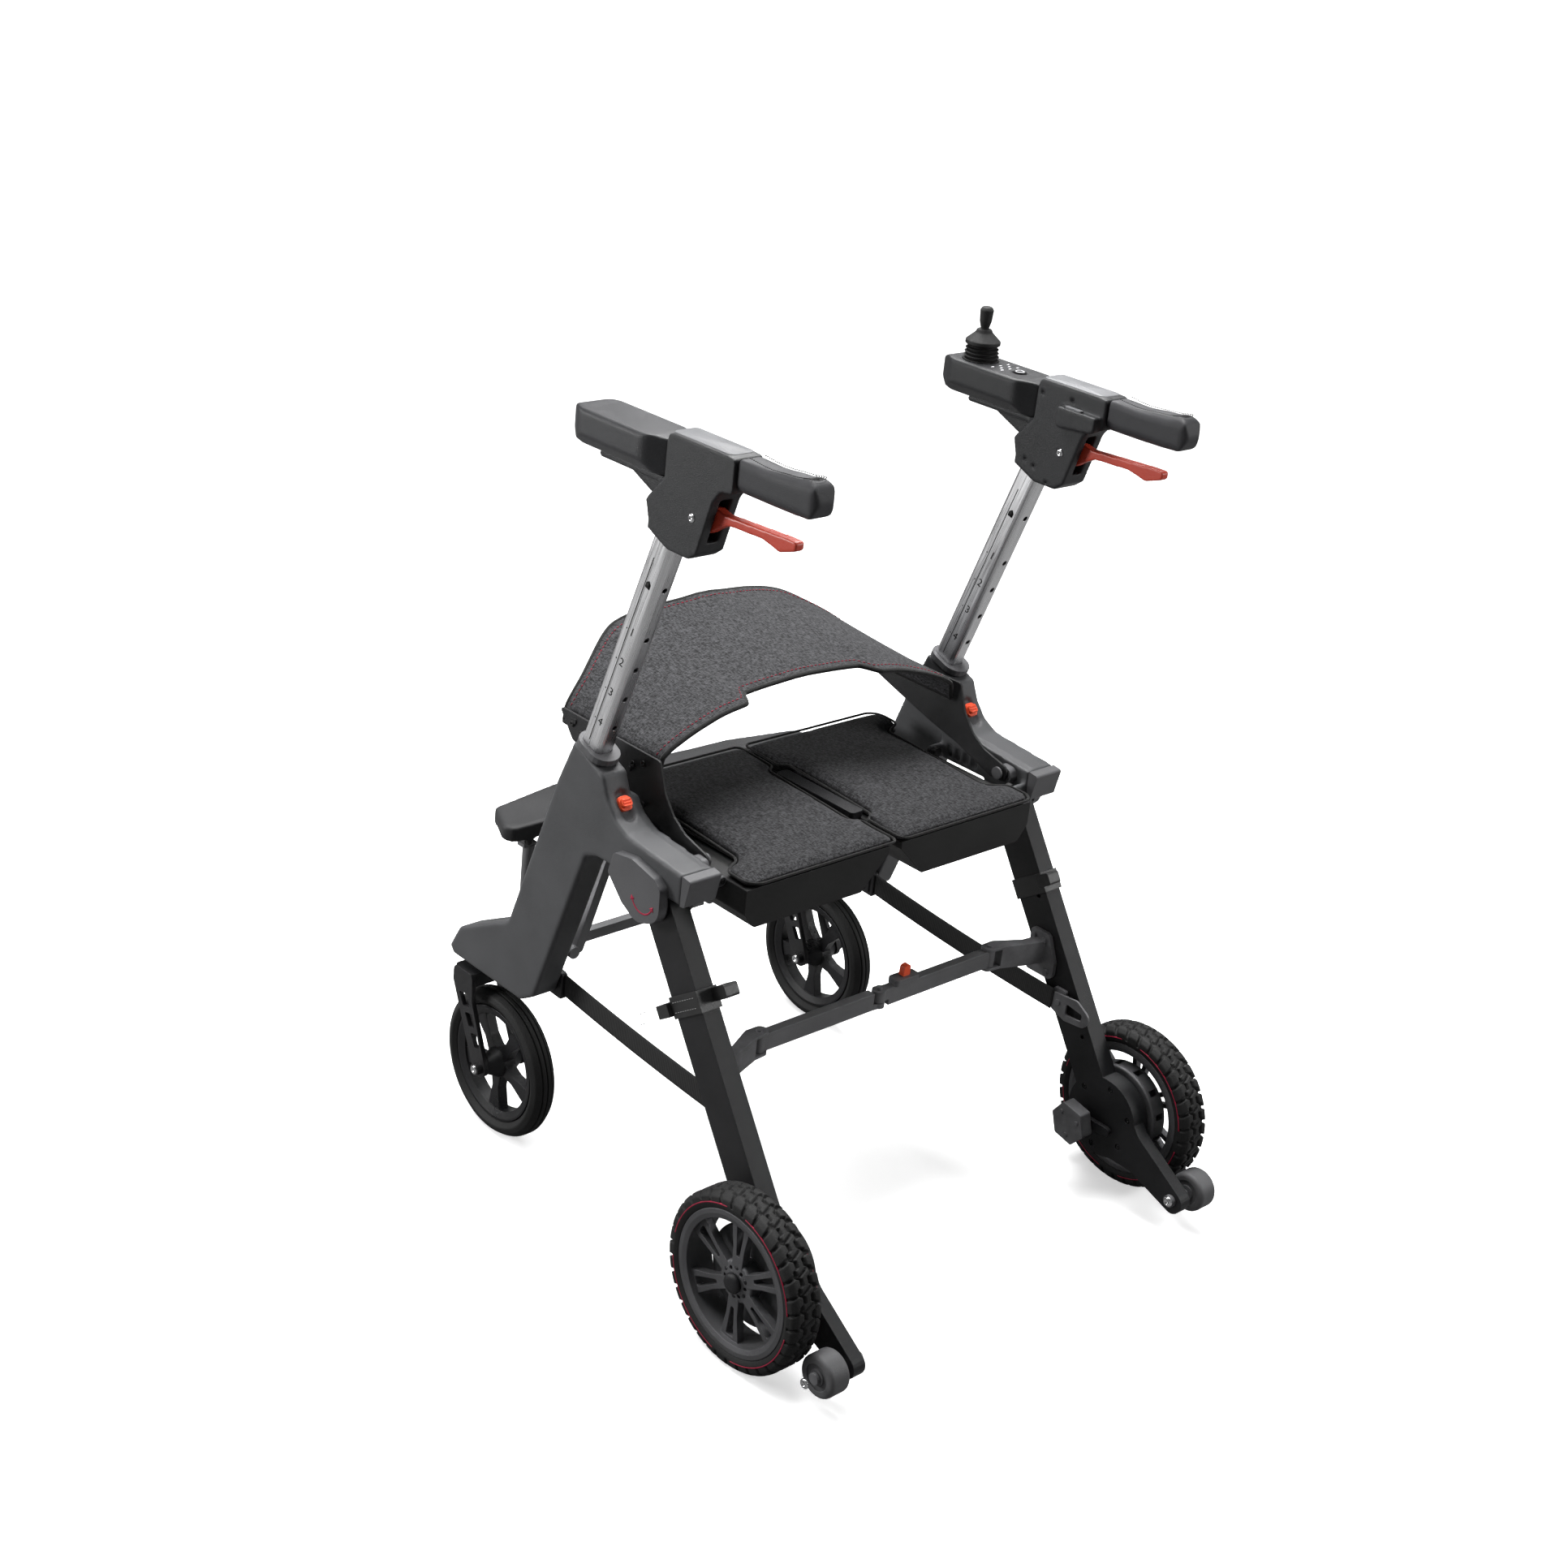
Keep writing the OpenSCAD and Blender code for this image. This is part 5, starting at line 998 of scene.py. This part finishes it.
# %% Print the panel
box_hi = np.array(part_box("right_joystick_box")[1])
power = mid("power_button")
signs = []
panel_z = box_hi[2]
for k, y in enumerate((0.050, 0.042, 0.034)):
    cy = stick[1] + y
    for j, x in enumerate(np.linspace(-0.014, 0.014, 5)):
        if (k + j) % 2 == 0:
            x0, x1 = stick[0] + x - 0.0022, stick[0] + x + 0.0022
            y0, y1 = cy - 0.0011, cy + 0.0011
            bar = rounded([(x0, y0, 0.0006), (x1, y0, 0.0006), (x1, y1, 0.0006), (x0, y1, 0.0006)], 2)
            signs.append(plate(bar, panel_z - 0.0004, panel_z + 0.0003, 0.0001, "xy"))
piece("panel_signs", together(signs), ink_pale, "right_upright")
a = np.linspace(0, 2 * np.pi, 48, endpoint=False)
button_top = np.array(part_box("power_button")[1])[2]
ring = np.stack([power[0] + 0.0052 * np.cos(a), power[1] + 0.0052 * np.sin(a), np.full(48, button_top)], 1)
halo = tube(ring, 0.0006, 8, closed=True)
piece("power_ring", halo, ink_pale, "power")

# %% [markdown]
# A grip isn't a straight bar. It dips where the palm lies and swells towards its end, so the moulding is
# bent: each point above the middle moves by a wave of its distance along the grip. A row of small beads
# runs down each top edge, and a few rings close the pattern at the end.

# %% Shape and bead the grips
grip_lo, grip_hi = (np.array(c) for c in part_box("left_grip"))
grip_z = (grip_lo[2] + grip_hi[2]) / 2


def palm(y):
    """Lift of the grip's top at y: a shallow dip over the first two thirds, then a low swell, then none."""
    u = np.clip((y - grip_lo[1]) / (grip_hi[1] - grip_lo[1]), 0, 1)
    return -0.0028 * np.sin(np.pi * np.clip(u / 0.72, 0, 1)) ** 2 + 0.0030 * np.exp(-((u - 0.86) / 0.10) ** 2)


for side, s in (("left", 1), ("right", -1)):
    mesh = bpy.data.objects[side + "_grip_moulding"].data
    co = np.empty(len(mesh.vertices) * 3, np.float32)
    mesh.vertices.foreach_get("co", co)
    co = co.reshape(-1, 3)
    share = np.clip((co[:, 2] - grip_z) / (grip_hi[2] - grip_z), 0, 1)
    co[:, 2] += palm(co[:, 1]) * share
    mesh.vertices.foreach_set("co", co.ravel())
    mesh.update()
    parts = []
    for y in np.arange(grip_lo[1] + 0.012, grip_hi[1] - 0.030, 0.0030):
        z = grip_hi[2] + float(palm(np.array(y))) - 0.0004
        for x in (-0.0108, 0.0108):
            parts.append(lathe([(0.0001, -0.0006), (0.0010, -0.0002), (0.0007, 0.0004), (0.0001, 0.0006)],
                               (s * side_x + x, y, z), (0, 0, 1), 8))
    for k, y in enumerate(np.arange(grip_hi[1] - 0.030, grip_hi[1] - 0.014, 0.0034)):
        a = np.linspace(-1, 1, 25)
        z = grip_hi[2] + palm(np.full(25, y)) - 0.0002
        bow = y + 0.006 * np.sqrt(np.maximum(1 - a * a, 0))
        parts.append(tube(np.stack([s * side_x + 0.0105 * a, bow, z], 1), 0.0005, 6))
    piece(side + "_grip_beads", together(parts), soft_rubber, side + "_upright")

# %% [markdown]
# A paler inlaid cap closes the top of each head. It is a thin plate with rounded corners and a soft rim,
# let into the head between the arm rest and the grip.

# %% Lay the caps into the heads
for side, s in (("left", 1), ("right", -1)):
    x0, x1 = sorted((s * (side_x - 0.0172), s * (side_x + 0.0172)))
    cap_y = (head_hi[1] - 0.213, head_hi[1] - 0.1175)
    shape = rounded([(x0, cap_y[0], 0.006), (x1, cap_y[0], 0.006), (x1, cap_y[1], 0.008), (x0, cap_y[1], 0.008)])
    piece(side + "_head_cap", plate(shape, head_hi[2] - 0.0016, head_hi[2] + 0.0006, 0.0006, "xy"), cap_grey,
          side + "_upright")

# %% [markdown]
# The left leg carries a leather loop, sewn along both edges with pale thread. The stitches lie on the
# loop's outer face and on its front.

# %% Stitch the leather loop
def on_leg(s, d):
    """Height and depth of a point s metres down the leg and d metres behind its middle line."""
    c, n = math.cos(leg_angle), math.sin(leg_angle)
    return leg_piv[1] + s * n + d * c, leg_piv[2] - s * c + d * n


fit_hi = np.array(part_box("left_leg_fittings")[1])
loop_x = fit_hi[0]
parts = []
for s_at in (0.1200, 0.1320):
    d = np.linspace(-0.0270, -0.0480, 30)
    y, z = on_leg(s_at, d)
    line = np.stack([np.full(30, loop_x), y, z], 1)
    parts.append(stitches(line, np.tile([1.0, 0, 0], (30, 1)), 0.0030, 0.0017, 0.00045))
    x = np.linspace(loop_x - 0.002, leg_in - 0.004, 30)
    y, z = on_leg(s_at, np.full(30, -0.0480))
    face = -np.array([0.0, math.cos(leg_angle), math.sin(leg_angle)])
    parts.append(stitches(np.stack([x, y, z], 1), np.tile(face, (30, 1)), 0.0030, 0.0017, 0.00045))
    d = np.linspace(-0.022, 0.022, 40)
    y, z = on_leg(s_at - 0.001, d)
    line = np.stack([np.full(40, leg_in + 0.026 + 0.0025), y, z], 1)
    parts.append(stitches(line, np.tile([1.0, 0, 0], (40, 1)), 0.0030, 0.0017, 0.00045))
piece("leather_stitching", together(parts), thread_pale, "left_leg")

# %% [markdown]
# Each side plate of the backrest is held by two small screws near its top.

# %% Screw the side plates
for side, s in (("left", 1), ("right", -1)):
    heads = [screw((s * (plate_x + 0.0058), y, z), (s, 0, 0), 0.0042, 0.0016)
             for y, z in ((-0.098, 0.590), (-0.116, 0.583), (-0.232, 0.590), (-0.214, 0.583))]
    piece(side + "_plate_screws", together(heads), black_screw, side + "_back")

# %% [markdown]
# Floor, light and camera. A pale floor runs far beyond the view. A wide soft sun lights it evenly, so the
# floor stays white all over. Three area lamps give the mouldings their highlights, and the room is kept
# dim for everything but the camera, so that black parts stay black.

# %% Set the stage
floor_mesh = bpy.data.meshes.new("studio_floor")
wide = 40.0
floor_mesh.from_pydata([(-wide, -wide, -0.0005), (wide, -wide, -0.0005), (wide, wide, -0.0005), (-wide, wide, -0.0005)],
                       [], [(0, 1, 2, 3)])
floor = bpy.data.objects.new("studio_floor", floor_mesh)
bpy.context.scene.collection.objects.link(floor)
floor_mat, link, shader, add = nodes_of("studio_paper")
paper = add("ShaderNodeTexNoise", Scale=3.0, Detail=2.0)
link(add("ShaderNodeTexCoord").outputs["Object"], paper.inputs["Vector"])
link(two_tones(add, link, paper.outputs["Fac"], (0.86, 0.86, 0.86), (0.88, 0.88, 0.88)), shader.inputs["Base Color"])
shader.inputs["Roughness"].default_value = 0.8
shader.inputs["Specular IOR Level"].default_value = 0.0
shader.inputs["Emission Color"].default_value = (1, 1, 1, 1)
shader.inputs["Emission Strength"].default_value = 0.50
bounce = add("ShaderNodeBsdfDiffuse")
bounce.inputs["Color"].default_value = (0.16, 0.16, 0.16, 1)
seen_or_lit = add("ShaderNodeMixShader")
link(add("ShaderNodeLightPath").outputs["Is Camera Ray"], seen_or_lit.inputs[0])
link(bounce.outputs[0], seen_or_lit.inputs[1])
link(shader.outputs[0], seen_or_lit.inputs[2])
link(seen_or_lit.outputs[0], floor_mat.node_tree.nodes["Material Output"].inputs["Surface"])
floor_mesh.materials.append(floor_mat)


def aim(obj, at, look):
    """Turns a lamp at one point to look at another: its own -Z runs along the line between them."""
    u, v, w = frame_for(np.array(at, float) - np.array(look, float))
    rows = [[u[k], v[k], w[k], at[k]] for k in range(3)]
    obj.matrix_world = Matrix(rows + [[0, 0, 0, 1]])
    bpy.context.scene.collection.objects.link(obj)


def lamp(name, at, size, watts):
    """A square area lamp that looks at the middle of the seat."""
    light = bpy.data.lights.new(name, "AREA")
    light.shape, light.size, light.energy = "SQUARE", size, watts
    aim(bpy.data.objects.new(name, light), at, (0, 0, 0.5))


sun = bpy.data.lights.new("skylight", "SUN")
sun.energy, sun.angle = 3.0, math.radians(40)
aim(bpy.data.objects.new("skylight", sun), (0.5, -0.9, 3.0), (0, 0, 0.4))
lamp("strip_left", (2.2, -1.9, 1.2), 0.9, 60)
lamp("strip_right", (-1.9, 2.1, 1.6), 0.8, 40)
lamp("above", (-0.7, -0.7, 2.6), 1.5, 110)
world = bpy.data.worlds.new("white_room")
bpy.context.scene.world = world
world.use_nodes = True
tree = world.node_tree
dim = tree.nodes["Background"]
dim.inputs["Color"].default_value = (1, 1, 1, 1)
dim.inputs["Strength"].default_value = 0.13
seen = tree.nodes.new("ShaderNodeBackground")
seen.inputs["Color"].default_value = (1, 1, 1, 1)
ray = tree.nodes.new("ShaderNodeLightPath")
mix = tree.nodes.new("ShaderNodeMixShader")
tree.links.new(ray.outputs["Is Camera Ray"], mix.inputs[0])
tree.links.new(dim.outputs[0], mix.inputs[1])
tree.links.new(seen.outputs[0], mix.inputs[2])
tree.links.new(mix.outputs[0], tree.nodes["World Output"].inputs["Surface"])
bpy.context.scene.view_settings.view_transform = "Standard"

# %% [markdown]
# The camera stands behind the left handle, above it, looking down across the seat.

# %% Place the camera
right = np.array([-0.73760, 0.66798, 0.09871])
up = np.array([-0.20596, -0.36179, 0.90923])
forward = np.array([-0.64306, -0.65031, -0.40443])
eye = np.array([1.9197, 1.8223, 1.7058])
lens = bpy.data.cameras.new("view")
lens.lens, lens.sensor_width = 55.04, 36.0
lens.clip_end = 60
camera = bpy.data.objects.new("view", lens)
bpy.context.scene.collection.objects.link(camera)
turn = np.eye(4)
turn[:3, 0], turn[:3, 1], turn[:3, 2], turn[:3, 3] = right, up, -forward, eye
camera.matrix_world = Matrix(turn.tolist())
bpy.context.scene.camera = camera
